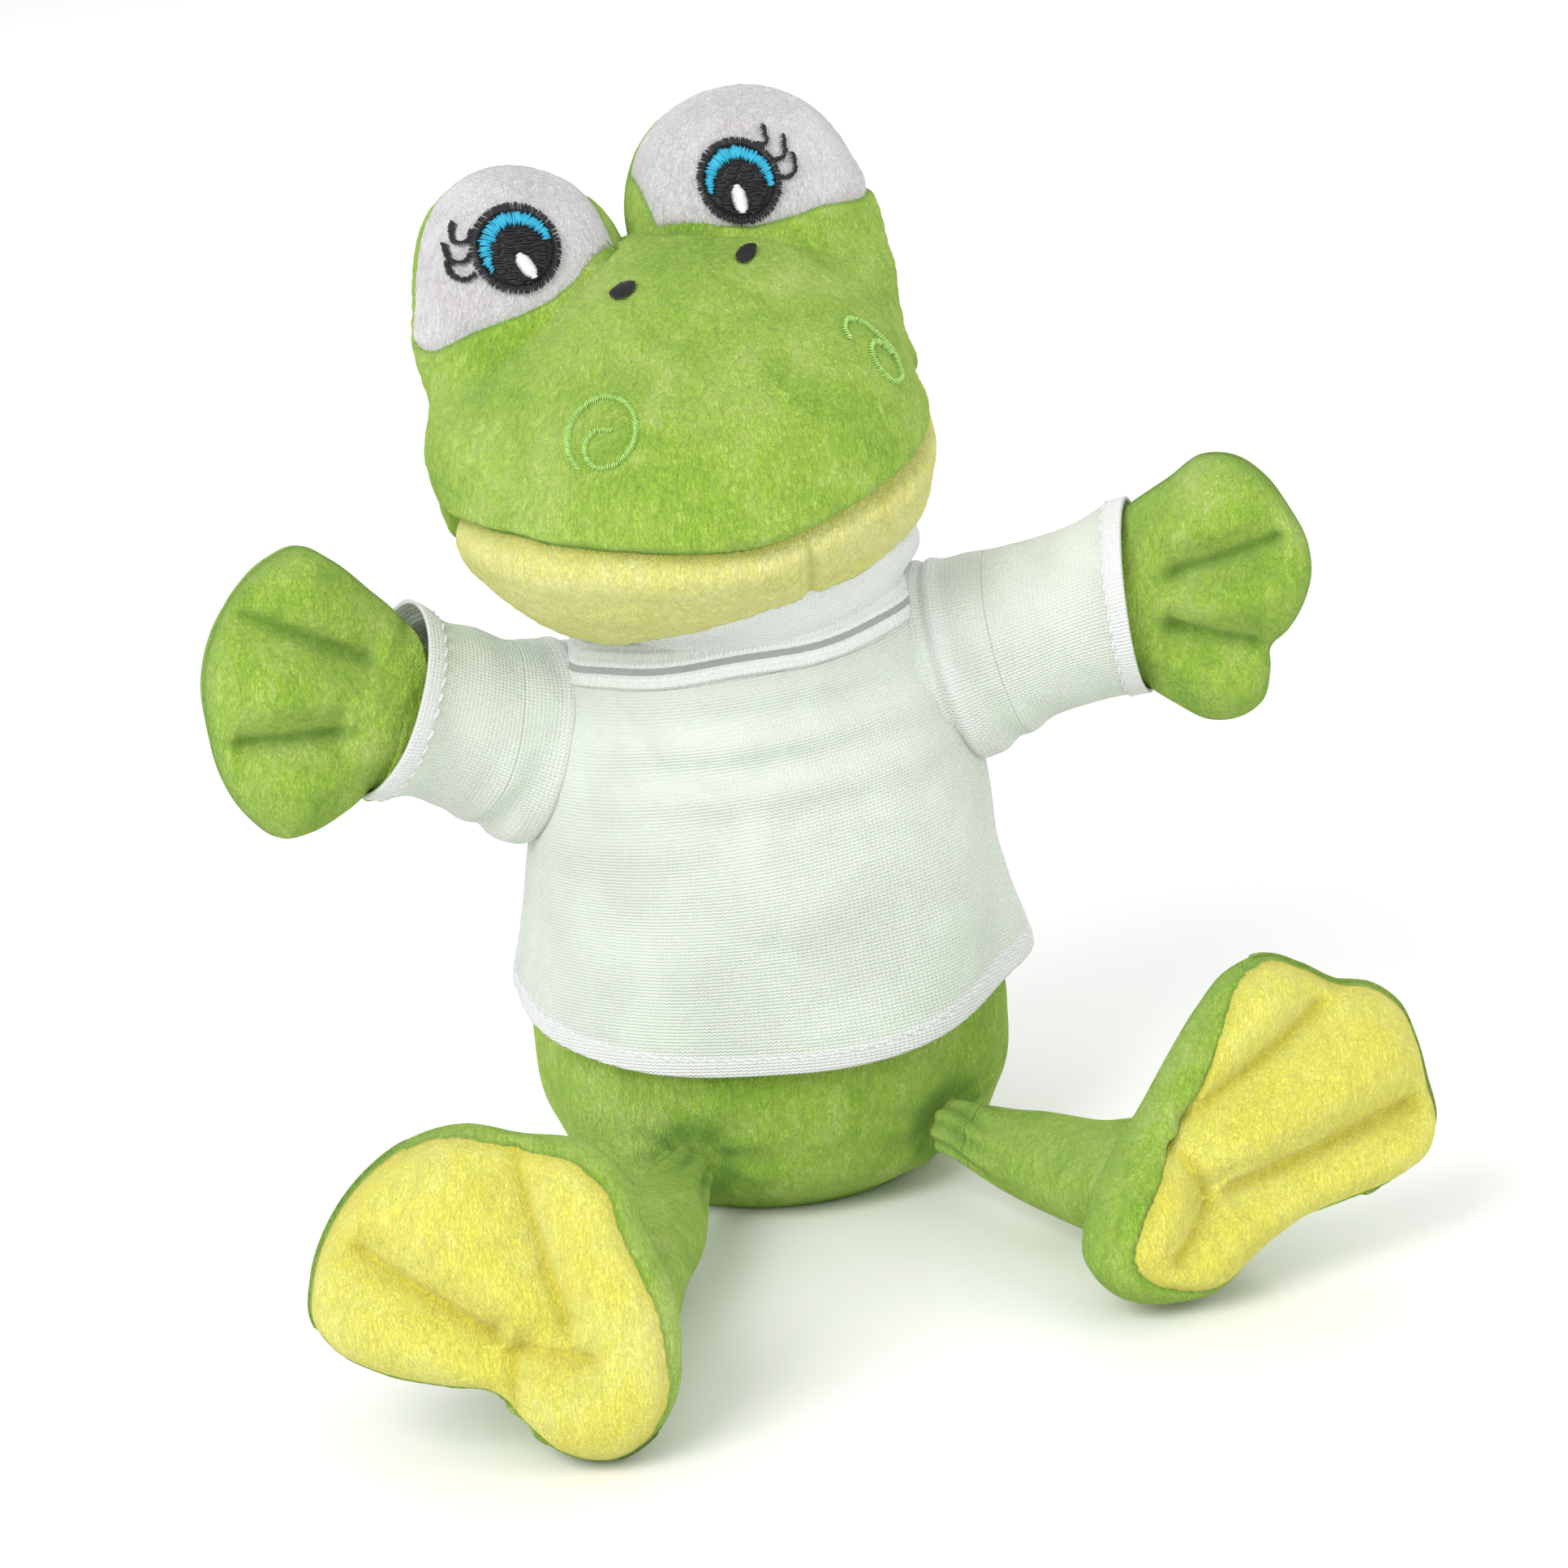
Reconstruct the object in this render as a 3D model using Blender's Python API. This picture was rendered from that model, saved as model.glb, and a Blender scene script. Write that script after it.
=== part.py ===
"""Frog hand puppet in a T-shirt, seated with its soles forward.

Every sewn panel, stuffed core and embroidered patch is its own closed solid. Metres, +Z up,
the puppet faces -Y, and the origin is the middle of the flat seat. Left is the side of -X.
"""

from math import cos, pi, radians, sin, sqrt

import bmesh
import bpy
from mathutils import Matrix, Vector

# Fabric and fits
GAP = 0.0003
TINY = 1e-6
PLUSH = 0.0015
KNIT = 0.0014

# Head, in its own frame: +Z to the crown, -Y to the nose
HEAD_CENTRE = Vector((-0.008, -0.005, 0.163))
HEAD_ROLL, HEAD_TURN, HEAD_NOD = radians(-12.5), radians(16), radians(-10)
BALLS = (
    ((0.0, 0.002, -0.010), (0.046, 0.038, 0.038)),
    ((0.0, -0.008, -0.018), (0.047, 0.036, 0.030)),
    ((-0.0235, 0.002, 0.026), (0.0225, 0.017, 0.0225)),
    ((0.0235, 0.002, 0.026), (0.0225, 0.017, 0.0225)),
)
BLEND_POWER = 12
HEAD_SEAM_Y = 0.003
MOUTH_Z, MOUTH_SLOPE = -0.018, 0.467
EYE_SEAM_Z, NOTCH_HALF = 0.0225, 0.0022
EYE_X, EYE_Z, EYE_W, EYE_H = 0.0229, 0.0325, 0.0085, 0.0088
PATCH_LOW, PATCH_HIGH = 0.0010, 0.0017
NOSTRIL_X, NOSTRIL_Z, NOSTRIL_W, NOSTRIL_H = 0.0134, 0.018, 0.0036, 0.0015
SWIRL_X, SWIRL_Z, SWIRL_R, SWIRL_THREAD = 0.0275, -0.008, 0.0072, 0.0006
FINGER_R = 0.0095

# Neck: everything fixed to it stays inside HEAD_CUT of the pivot, and the head stays outside
NECK = Vector((0.0, 0.0, 0.121))
HEAD_CUT = 0.038
NECK_TUBE_R, NECK_RING_R = 0.0212, 0.0205

# Torso, as (height, half width, half depth)
TORSO = (
    (0.0, 0.026, 0.022),
    (0.005, 0.036, 0.029),
    (0.016, 0.044, 0.034),
    (0.032, 0.0465, 0.036),
    (0.056, 0.043, 0.033),
    (0.076, 0.040, 0.030),
    (0.090, 0.038, 0.028),
    (0.101, 0.034, 0.026),
    (0.107, 0.031, 0.0245),
)
SHIRT = (
    (0.036, 0.0515, 0.0405),
    (0.056, 0.0475, 0.0375),
    (0.076, 0.0445, 0.0345),
    (0.090, 0.0420, 0.0320),
    (0.101, 0.0375, 0.0300),
    (0.109, 0.0350, 0.0285),
)
LEAN, LEAN_FROM, LEAN_TO = 0.118, 0.036, 0.090
COLLAR_Z, COLLAR_W, COLLAR_D, COLLAR_R = 0.1135, 0.0325, 0.0270, 0.0018
OPENING_Z, OPENING_W, OPENING_H, BINDING_R = 0.0195, 0.036, 0.0155, 0.0014

# Arms: shoulder pivots, hand centres
SHOULDERS = {"left": Vector((-0.040, 0, 0.092)), "right": Vector((0.040, 0, 0.102))}
HANDS = {"left": Vector((-0.084, -0.022, 0.109)), "right": Vector((0.093, -0.012, 0.116))}
SHOULDER_CUT, SHIRT_ARMHOLE = 0.0195, 0.0235
ARM_W, ARM_H = 0.0105, 0.0120
SLEEVE = ((0.0040, 0.0130, 0.0138), (0.0200, 0.0135, 0.0148), (0.0375, 0.0140, 0.0190))
ARM_RING_R, ARM_RING_THREAD = 0.0082, 0.0010
WRIST = 0.0340
HAND_HALF = 0.0100
HAND_LOBES = (
    (0.0, 0.0, 0.0185),
    (0.0085, 0.0, 0.0130),
    (-0.0010, 0.0145, 0.0140),
    (-0.0010, -0.0145, 0.0145),
)

# Legs: hip pivots, foot centres, sole directions, toe lean
HIPS = {"left": Vector((-0.020, -0.0400, 0.0140)), "right": Vector((0.037, -0.0285, 0.0150))}
FEET = {"left": Vector((-0.0455, -0.1235, 0.0300)), "right": Vector((0.0865, -0.0740, 0.0300))}
SOLES = {"left": Vector((-0.16, -0.95, 0.12)), "right": Vector((0.34, -0.92, 0.12))}
TOES = {"left": radians(-29), "right": radians(29)}
LEG_R, HIP_BALL_R, ANKLE_DROP, ANKLE_BACK = 0.0085, 0.0080, 0.0165, 0.0125
FOOT_HALF = 0.0110
FOOT_LOBES = (
    (0.0, -0.0100, 0.0215),
    (0.0, 0.0020, 0.0250),
    (-0.0205, 0.0125, 0.0125),
    (0.0, 0.0185, 0.0125),
    (0.0205, 0.0125, 0.0125),
)
DOME = ((0.0, 1.0), (0.55, 0.86), (0.86, 0.52), (1.0, 0.02))


def clear_scene():
    for obj in list(bpy.data.objects):
        bpy.data.objects.remove(obj)


def material(name, colour, roughness=0.9):
    made = bpy.data.materials.new(name)
    made.use_nodes = True
    shader = made.node_tree.nodes["Principled BSDF"]
    shader.inputs["Base Color"].default_value = (*colour, 1)
    shader.inputs["Roughness"].default_value = roughness
    shader.inputs["Metallic"].default_value = 0
    return made


def make_materials():
    return {
        "green": material("green_plush", (0.31, 0.60, 0.05)),
        "yellow": material("yellow_plush", (0.83, 0.75, 0.10)),
        "white": material("white_plush", (0.75, 0.73, 0.75)),
        "shirt": material("shirt_knit", (0.74, 0.83, 0.68)),
        "black": material("black_thread", (0.012, 0.012, 0.014), 0.5),
        "blue": material("blue_thread", (0.03, 0.38, 0.58), 0.5),
        "highlight": material("white_thread", (0.85, 0.85, 0.85), 0.5),
        "lime": material("lime_thread", (0.55, 0.75, 0.20), 0.5),
        "filling": material("filling", (0.85, 0.84, 0.80)),
        "lining": material("lining", (0.28, 0.50, 0.08)),
    }


def empty(name, place, parent=None):
    made = bpy.data.objects.new(name, None)
    made.empty_display_size = 0.02
    bpy.context.collection.objects.link(made)
    attach(made, Matrix.Translation(place), parent)
    return made


def attach(obj, matrix, parent):
    obj.parent = parent
    bpy.context.view_layer.update()
    obj.matrix_world = matrix
    bpy.context.view_layer.update()


def finish(mesh, name, look, matrix=Matrix(), parent=None, cutter=False):
    """A closed mesh object from a bmesh, facing out."""
    bmesh.ops.remove_doubles(mesh, verts=mesh.verts, dist=1e-7)
    bmesh.ops.dissolve_degenerate(mesh, dist=1e-8, edges=mesh.edges)
    bmesh.ops.recalc_face_normals(mesh, faces=mesh.faces)
    data = bpy.data.meshes.new(name)
    mesh.to_mesh(data)
    mesh.free()
    data.shade_smooth()
    data.set_sharp_from_angle(angle=radians(40))
    obj = bpy.data.objects.new(name, data)
    bpy.context.collection.objects.link(obj)
    if look:
        data.materials.append(look)
    if cutter:
        obj.hide_render = True
        obj.display_type = "WIRE"
    attach(obj, matrix, parent)
    return obj


def boolean(obj, other, operation="DIFFERENCE"):
    made = obj.modifiers.new(operation.title() + " " + other.name, "BOOLEAN")
    made.operation = operation
    made.object = other


def thick_patch(outer, inner, wrap):
    """A bmesh between two grids of points, closed round their free edges.

    A row that is one point is a pole.
    """
    mesh = bmesh.new()
    grids = [[[mesh.verts.new(p) for p in row] for row in grid] for grid in (outer, inner)]
    rows, columns = len(outer), len(outer[0])

    def quad(a, b, c, d):
        mesh.faces.new((a, b, c, d))

    for grid in grids:
        for i in range(rows - 1):
            for j in range(columns if wrap else columns - 1):
                k = (j + 1) % columns
                quad(grid[i][j], grid[i][k], grid[i + 1][k], grid[i + 1][j])
    for i in (0, rows - 1):
        if (outer[i][0] - outer[i][1]).length < TINY:
            continue
        for j in range(columns if wrap else columns - 1):
            k = (j + 1) % columns
            quad(grids[0][i][j], grids[0][i][k], grids[1][i][k], grids[1][i][j])
    if not wrap:
        for j in (0, columns - 1):
            for i in range(rows - 1):
                quad(grids[0][i][j], grids[0][i + 1][j], grids[1][i + 1][j], grids[1][i][j])
    return mesh


def stacked(rings):
    """A bmesh through closed rings, capped at both ends."""
    mesh = bmesh.new()
    made = [[mesh.verts.new(p) for p in ring] for ring in rings]
    for low, high in zip(made, made[1:]):
        for j in range(len(low)):
            k = (j + 1) % len(low)
            mesh.faces.new((low[j], low[k], high[k], high[j]))
    for ring in (made[0], made[-1]):
        mesh.faces.new(ring)
    return mesh


def oval(width, depth, count, along=0.0, start=0.0):
    """Points round an oval in local Y and Z, at a distance along X."""
    turns = [start + 2 * pi * j / count for j in range(count)]
    return [Vector((along, width * cos(t), depth * sin(t))) for t in turns]


def torus(major_w, major_d, minor, count=28, sides=6):
    """A closed ring in the XY plane."""
    mesh = bmesh.new()
    rings = []
    for i in range(count):
        t = 2 * pi * i / count
        middle = Vector((major_w * cos(t), major_d * sin(t), 0))
        out = Vector((cos(t) / major_w, sin(t) / major_d, 0)).normalized()
        ring = []
        for j in range(sides):
            s = 2 * pi * j / sides
            ring.append(mesh.verts.new(middle + minor * (cos(s) * out + sin(s) * Vector((0, 0, 1)))))
        rings.append(ring)
    for i in range(count):
        low, high = rings[i], rings[(i + 1) % count]
        for j in range(sides):
            k = (j + 1) % sides
            mesh.faces.new((low[j], low[k], high[k], high[j]))
    return mesh


def ball(radius, segments=20, rings=12):
    mesh = bmesh.new()
    bmesh.ops.create_uvsphere(mesh, u_segments=segments, v_segments=rings, radius=radius)
    return mesh


def ball_cutter(name, place, radius):
    return finish(ball(radius), name, None, Matrix.Translation(place), cutter=True)


def block_cutter(name, corners, parent_matrix):
    """A hidden convex block over eight corners."""
    mesh = bmesh.new()
    for corner in corners:
        mesh.verts.new(corner)
    bmesh.ops.convex_hull(mesh, input=mesh.verts)
    return finish(mesh, name, None, parent_matrix, cutter=True)


# ---------------------------------------------------------------- head
def ray_to_ball(way, centre, radii):
    """How far a ray from the origin runs to the far side of an ellipsoid, or 0 if it misses."""
    d = Vector((way[i] / radii[i] for i in range(3)))
    c = Vector((centre[i] / radii[i] for i in range(3)))
    half, inside = d.dot(c), d.dot(c) ** 2 - d.dot(d) * (c.dot(c) - 1)
    if inside <= 0:
        return 0.0
    return max(0.0, (half + sqrt(inside)) / d.dot(d))


def head_radius(way):
    total = sum(ray_to_ball(way, *each) ** BLEND_POWER for each in BALLS)
    return total ** (1 / BLEND_POWER)


def head_solid(offset, segments=28, levels=18):
    rings = []
    for i in range(levels + 1):
        lat = -pi / 2 + pi * i / levels
        ring = []
        for j in range(segments):
            lon = 2 * pi * j / segments
            way = Vector((cos(lat) * cos(lon), cos(lat) * sin(lon), sin(lat)))
            ring.append(way * (head_radius(way) + offset))
        rings.append(ring)
    mesh = stacked(rings)
    bmesh.ops.triangulate(mesh, faces=mesh.faces, quad_method="FIXED")
    return mesh


def outside(point):
    """How far a point is past the head's surface, along its own ray."""
    return point.length - head_radius(point.normalized())


def on_face(x, z, lift):
    """The point of the head's front at (x, z), lifted off the fabric."""
    low, high = -0.075, 0.0
    for _ in range(40):
        y = (low + high) / 2
        point = Vector((x, y, z))
        if outside(point) > 0:
            low = y
        else:
            high = y
    point = Vector((x, low, z))
    step = 0.0004
    rise = [outside(point + step * axis) - outside(point - step * axis) for axis in Matrix.Identity(3)]
    return point + lift * Vector(rise).normalized()


def oval_patch(cx, cz, w, h, inner, low, high, start=0.0, end=2 * pi, columns=14, rows=1):
    """A curved plate on the face: an oval ring, or a sector of one, from inner share to the edge."""
    wrap = end - start > 2 * pi - 0.01
    steps = columns if wrap else columns + 1
    grids = []
    for lift in (high, low):
        grid = []
        for i in range(rows + 1):
            share = inner + (1 - inner) * i / rows
            row = []
            for j in range(steps):
                t = start + (end - start) * j / columns
                row.append(on_face(cx + w * share * cos(t), cz + h * share * sin(t), lift))
            grid.append(row)
        grids.append(grid)
    return thick_patch(grids[0], grids[1], wrap)


def thread_on_face(name, path, radius, look, matrix, parent, lift):
    """A round thread along (x, z) points of the face."""
    data = bpy.data.curves.new(name, "CURVE")
    data.dimensions = "3D"
    data.bevel_depth = radius
    data.bevel_resolution = 1
    data.use_fill_caps = True
    line = data.splines.new("POLY")
    line.points.add(len(path) - 1)
    for point, (x, z) in zip(line.points, path):
        point.co = (*on_face(x, z, lift), 1)
    obj = bpy.data.objects.new(name, data)
    bpy.context.collection.objects.link(obj)
    data.materials.append(look)
    attach(obj, matrix, parent)


def mouth_z(y):
    return MOUTH_Z + MOUTH_SLOPE * y


def head_cutters(matrix):
    far, half = 0.09, GAP / 2
    front, back = HEAD_SEAM_Y - half, HEAD_SEAM_Y + half

    def floor(_):
        return -far * 1.5

    def top(_):
        return far

    def eye_seam(_):
        return EYE_SEAM_Z

    def eye_room(_):
        return EYE_SEAM_Z - GAP

    def block(name, xs, front_back, low, high):
        """low and high are functions of y, so a block may have a sloping top or bottom."""
        corners = [Vector((x, y, side(y))) for x in xs for y in front_back for side in (low, high)]
        return block_cutter(name, corners, matrix)

    outer, inner = NOTCH_HALF, NOTCH_HALF - GAP
    return {
        "back": block("cut_back", (-far, far), (back, far), floor, top),
        "front": block("cut_front", (-far, far), (-far, front), lambda y: mouth_z(y) + half, top),
        "chin": block("cut_chin", (-far, far), (-far, front), floor, lambda y: mouth_z(y) - half),
        "left": block("cut_eye_left", (-far, -outer), (-far, front), eye_seam, top),
        "right": block("cut_eye_right", (outer, far), (-far, front), eye_seam, top),
        "left_room": block("cut_room_left", (-far, -inner), (-far, far), eye_room, top),
        "right_room": block("cut_room_right", (inner, far), (-far, far), eye_room, top),
    }


def make_head(looks, matrix, parent):
    cutters = head_cutters(matrix)
    core = finish(head_solid(-PLUSH), "cut_head_core", None, matrix, cutter=True)
    neck = ball_cutter("cut_neck", NECK, HEAD_CUT)

    def panel(name, look, keep, remove=()):
        obj = finish(head_solid(0.0), name, looks[look], matrix, parent)
        boolean(obj, cutters[keep], "INTERSECT")
        boolean(obj, core)
        boolean(obj, neck)
        for other in remove:
            boolean(obj, cutters[other])

    panel("head_back", "green", "back")
    panel("head_front", "green", "front", ("left_room", "right_room"))
    panel("chin_panel", "yellow", "chin")
    panel("eye_white_left", "white", "left")
    panel("eye_white_right", "white", "right")
    make_finger_pocket(looks, matrix, parent, neck)
    for side, sign in (("left", -1), ("right", 1)):
        make_eye(looks, side, sign, matrix, parent)
        make_cheek(looks, side, sign, matrix, parent)


def make_finger_pocket(looks, matrix, parent, neck):
    """The stuffing and the closed fabric tube that takes a finger from the neck."""
    local_neck = matrix.inverted() @ NECK
    up = -local_neck.normalized()
    turn = up.to_track_quat("X", "Z").to_matrix().to_4x4()
    frame = matrix @ Matrix.Translation(local_neck) @ turn
    wall, start, end = 0.001, 0.026, 0.063
    outer, inner = FINGER_R + wall, FINGER_R
    ends = [(start, outer), (end - outer, outer), (end - outer * 0.4, outer * 0.8), (end, 0.0)]
    waist = end - outer * 0.4
    holes = [(start, inner), (end - outer, inner), (waist - wall, inner * 0.8), (end - wall, 0.0)]
    rows = [[oval(r, r, 18, along=t) for t, r in line] for line in (ends, holes)]
    finish(thick_patch(rows[0], rows[1], True), "finger_pocket", looks["lining"], frame, parent)
    room = [oval(outer + GAP, outer + GAP, 18, along=t) for t in (start - 0.02, end + GAP)]
    cutter = finish(stacked(room), "cut_pocket", None, frame, cutter=True)
    stuffing = finish(head_solid(-PLUSH - GAP), "head_stuffing", looks["filling"], matrix, parent)
    boolean(stuffing, neck)
    boolean(stuffing, cutter)


def make_eye(looks, side, sign, matrix, parent):
    x, z = sign * EYE_X, EYE_Z
    layers = (
        ("outline", "black", EYE_W, EYE_H, 0.80, 0, 2 * pi, PATCH_LOW, PATCH_HIGH),
        ("crescent", "blue", EYE_W * 0.77, EYE_H * 0.77, 0.74, 1.1, 4.4, PATCH_LOW, PATCH_HIGH),
        ("pupil", "black", EYE_W * 0.53, EYE_H * 0.55, 0.02, 0, 2 * pi, PATCH_LOW, PATCH_HIGH),
    )
    for part, look, w, h, inner, start, end, low, high in layers:
        mesh = oval_patch(x, z, w, h, inner, low, high, start, end)
        finish(mesh, f"eye_{part}_{side}", looks[look], matrix, parent)
    glint = oval_patch(x + 0.0012, z - 0.0016, 0.0022, 0.0029, 0.02, PATCH_HIGH + GAP, 0.0026, columns=12)
    finish(glint, f"eye_glint_{side}", looks["highlight"], matrix, parent)
    for i in range(3):
        turn = radians(62 + 24 * i)
        turn = turn if sign > 0 else pi - turn
        path = []
        for k in range(6):
            reach = 1.06 + 0.075 * k
            bend = turn + sign * 0.05 * k
            path.append((x + EYE_W * reach * cos(bend), z + EYE_H * reach * sin(bend)))
        thread_on_face(f"eye_lash_{side}_{i + 1}", path, 0.0004, looks["black"], matrix, parent, 0.0014)


def make_cheek(looks, side, sign, matrix, parent):
    nostril = oval_patch(
        sign * NOSTRIL_X, NOSTRIL_Z, NOSTRIL_W, NOSTRIL_H, 0.02, PATCH_LOW, PATCH_HIGH, columns=12
    )
    finish(nostril, f"nostril_{side}", looks["black"], matrix, parent)
    path = []
    for k in range(20):
        turn = pi / 2 + sign * 2 * pi * 1.35 * k / 19
        reach = SWIRL_R * (1 - 0.62 * k / 19)
        path.append((sign * SWIRL_X + reach * cos(turn), SWIRL_Z + 1.1 * reach * sin(turn)))
    thread_on_face(f"cheek_swirl_{side}", path, SWIRL_THREAD, looks["lime"], matrix, parent, 0.0015)


# ---------------------------------------------------------------- torso and shirt
def leaning(point):
    """The shoulder line rises to the right, more the higher a point is."""
    share = min(1.0, max(0.0, (point.z - LEAN_FROM) / (LEAN_TO - LEAN_FROM)))
    share = share * share * (3 - 2 * share)
    return Vector((point.x, point.y, point.z + LEAN * point.x * share))


def shell_half(profile, thick, front, columns=14):
    """The front or the back of a thick oval tube, closed along both side seams."""
    grids = []
    for inset in (0.0, thick):
        grid = []
        for z, width, depth in profile:
            w, d = width - inset, depth - inset
            slit = GAP / 2 / d
            row = []
            for j in range(columns + 1):
                t = slit + (pi - 2 * slit) * j / columns
                t = t + pi if front else t
                row.append(leaning(Vector((w * cos(t), d * sin(t), z))))
            grid.append(row)
        grids.append(grid)
    return thick_patch(grids[0], grids[1], False)


def make_torso(looks, cutters):
    for name, front in (("torso_front", True), ("torso_back", False)):
        obj = finish(shell_half(TORSO, PLUSH, front), name, looks["green"])
        for cutter in cutters:
            boolean(obj, cutter)
        if not front:
            boolean(obj, opening_cutter())
    make_base(looks)
    make_binding(looks)


def make_base(looks):
    """The flat seat panel inside the foot of the torso."""
    width, depth = TORSO[0][1] - PLUSH - GAP, TORSO[0][2] - PLUSH - GAP
    rings = []
    for z in (0.0, 0.0014):
        turns = [2 * pi * j / 32 for j in range(32)]
        rings.append([Vector((width * cos(t), depth * sin(t), z)) for t in turns])
    finish(stacked(rings), "torso_base", looks["green"])


def opening_cutter():
    turns = [2 * pi * j / 28 for j in range(28)]
    w, h = OPENING_W, OPENING_H
    rings = [[Vector((w * cos(t), y, OPENING_Z + h * sin(t))) for t in turns] for y in (0.002, 0.06)]
    return finish(stacked(rings), "cut_opening", None, cutter=True)


def torso_size(z):
    for low, high in zip(TORSO, TORSO[1:]):
        if z <= high[0]:
            share = (z - low[0]) / (high[0] - low[0])
            return [low[i] + share * (high[i] - low[i]) for i in (1, 2)]
    return list(TORSO[-1][1:])


def make_binding(looks):
    """The rolled edge round the hand opening in the back."""
    inset = BINDING_R + 2.5 * GAP
    data = bpy.data.curves.new("opening_binding", "CURVE")
    data.dimensions = "3D"
    data.bevel_depth = BINDING_R
    data.bevel_resolution = 1
    line = data.splines.new("POLY")
    count = 28
    line.points.add(count - 1)
    for j, point in enumerate(line.points):
        t = 2 * pi * j / count
        x, z = (OPENING_W - inset) * cos(t), OPENING_Z + (OPENING_H - inset) * sin(t)
        width, depth = torso_size(z)
        point.co = (x, (depth - PLUSH / 2) * sqrt(1 - (x / width) ** 2), z, 1)
    line.use_cyclic_u = True
    obj = bpy.data.objects.new("opening_binding", data)
    bpy.context.collection.objects.link(obj)
    data.materials.append(looks["green"])


def make_shirt(looks, cutters):
    for name, front in (("shirt_front", True), ("shirt_back", False)):
        obj = finish(shell_half(SHIRT, KNIT, front), name, looks["shirt"])
        for cutter in cutters:
            boolean(obj, cutter)
    collar = torus(COLLAR_W, COLLAR_D, COLLAR_R, 28, 5)
    for vert in collar.verts:
        vert.co = leaning(vert.co + Vector((0, 0, COLLAR_Z)))
    finish(collar, "shirt_collar", looks["shirt"])


def make_neck(looks, turner, tilter):
    rows = []
    for radius in (NECK_TUBE_R, NECK_TUBE_R - 0.0012):
        turns = [2 * pi * j / 28 for j in range(28)]
        rows.append([[Vector((radius * cos(t), radius * sin(t), z)) for t in turns] for z in (0.096, 0.1105)])
    lowered = Matrix.Translation(-turner.matrix_world.translation)
    tube = thick_patch(rows[0], rows[1], True)
    bmesh.ops.transform(tube, matrix=lowered, verts=tube.verts)
    finish(tube, "neck_tube", looks["green"], Matrix.Translation(NECK), turner)
    ring = torus(NECK_RING_R, NECK_RING_R, 0.0014, 24, 5)
    finish(ring, "neck_ring", looks["green"], Matrix.Translation(NECK), tilter)


# ---------------------------------------------------------------- arms
def arm_frame(side):
    along = (HANDS[side] - SHOULDERS[side]).normalized()
    up = (Vector((0, 0, 1)) - along * along.z).normalized()
    turn = Matrix((along, up.cross(along), up)).transposed().to_4x4()
    return Matrix.Translation(SHOULDERS[side]) @ turn


def lobed_radius(lobes, turn, sharp=14):
    total = 0.0
    for x, y, r in lobes:
        half = x * cos(turn) + y * sin(turn)
        inside = half * half - (x * x + y * y - r * r)
        if inside > 0:
            total += max(0.0, half + sqrt(inside)) ** sharp
    return total ** (1 / sharp)


def pad_grid(lobes, half, inset, flat_side, columns=20):
    """Rings of a domed pad: local X along the limb or toes, Y through the thickness, Z across."""
    grid = []
    for share, height in DOME:
        row = []
        for j in range(columns):
            t = 2 * pi * j / columns
            reach = (lobed_radius(lobes, t) - inset) * share
            x = max(reach * cos(t), flat_side)
            row.append(Vector((x, -(half - inset) * height, reach * sin(t))))
        grid.append(row)
    return grid


def pad_shell(lobes, half, flat_side, sign):
    """One face of a pad as a domed shell; sign 1 is the -Y face, -1 the +Y face."""
    outer = pad_grid(lobes, half, 0.0, flat_side)
    inner = pad_grid(lobes, half, PLUSH, flat_side + PLUSH)
    for grid in (outer, inner):
        for row in grid:
            for point in row:
                point.y = sign * min(point.y, -GAP / 2)
    return thick_patch(outer, inner, True)


def pad_core(lobes, half, flat_side):
    inset = PLUSH + GAP
    face = pad_grid(lobes, half, inset, flat_side + inset)
    back = [[Vector((p.x, -p.y, p.z)) for p in row] for row in face[:-1]]
    return stacked(face + back[::-1])


def make_arm(looks, side, shoulder, arm):
    frame = arm_frame(side)
    tube = [[oval(ARM_W - i, ARM_H - i, 22, along=t) for t in (0.0, WRIST - i)] for i in (0, 0.0012)]
    for i, row in enumerate(tube):
        row.append(oval(0.0, 0.0, 22, along=WRIST - i * 0.0012))
    finish(thick_patch(tube[0], tube[1], True), f"arm_tube_{side}", looks["green"], frame, arm)
    rows = []
    for inset in (0.0, KNIT):
        rows.append([oval(w - inset, h - inset, 24, along=t) for t, w, h in SLEEVE])
    finish(thick_patch(rows[0], rows[1], True), f"shirt_sleeve_{side}", looks["shirt"], frame, arm)
    ring = torus(ARM_RING_R, ARM_RING_R, ARM_RING_THREAD, 16, 5)
    bmesh.ops.rotate(ring, matrix=Matrix.Rotation(pi / 2, 3, "Y"), verts=ring.verts)
    finish(ring, f"armhole_ring_{side}", looks["lining"], frame, shoulder)
    flat = -0.0190
    wrist = WRIST + GAP - flat
    hand = frame @ Matrix.Translation((wrist, 0, 0))
    finish(pad_shell(HAND_LOBES, HAND_HALF, flat, 1), f"hand_front_{side}", looks["green"], hand, arm)
    finish(pad_shell(HAND_LOBES, HAND_HALF, flat, -1), f"hand_back_{side}", looks["green"], hand, arm)
    finish(pad_core(HAND_LOBES, HAND_HALF, flat), f"hand_stuffing_{side}", looks["filling"], hand, arm)


# ---------------------------------------------------------------- legs
def foot_frame(side):
    """Local X to the toes, local -Y out of the sole."""
    out = SOLES[side].normalized()
    up = (Vector((0, 0, 1)) - out * out.z).normalized()
    toes = Matrix.Rotation(TOES[side], 3, -out) @ up
    turn = Matrix((toes, -out, toes.cross(-out))).transposed().to_4x4()
    return Matrix.Translation(FEET[side]) @ turn


def ankle(side):
    return foot_frame(side) @ Vector((-ANKLE_DROP, ANKLE_BACK, 0))


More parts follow.
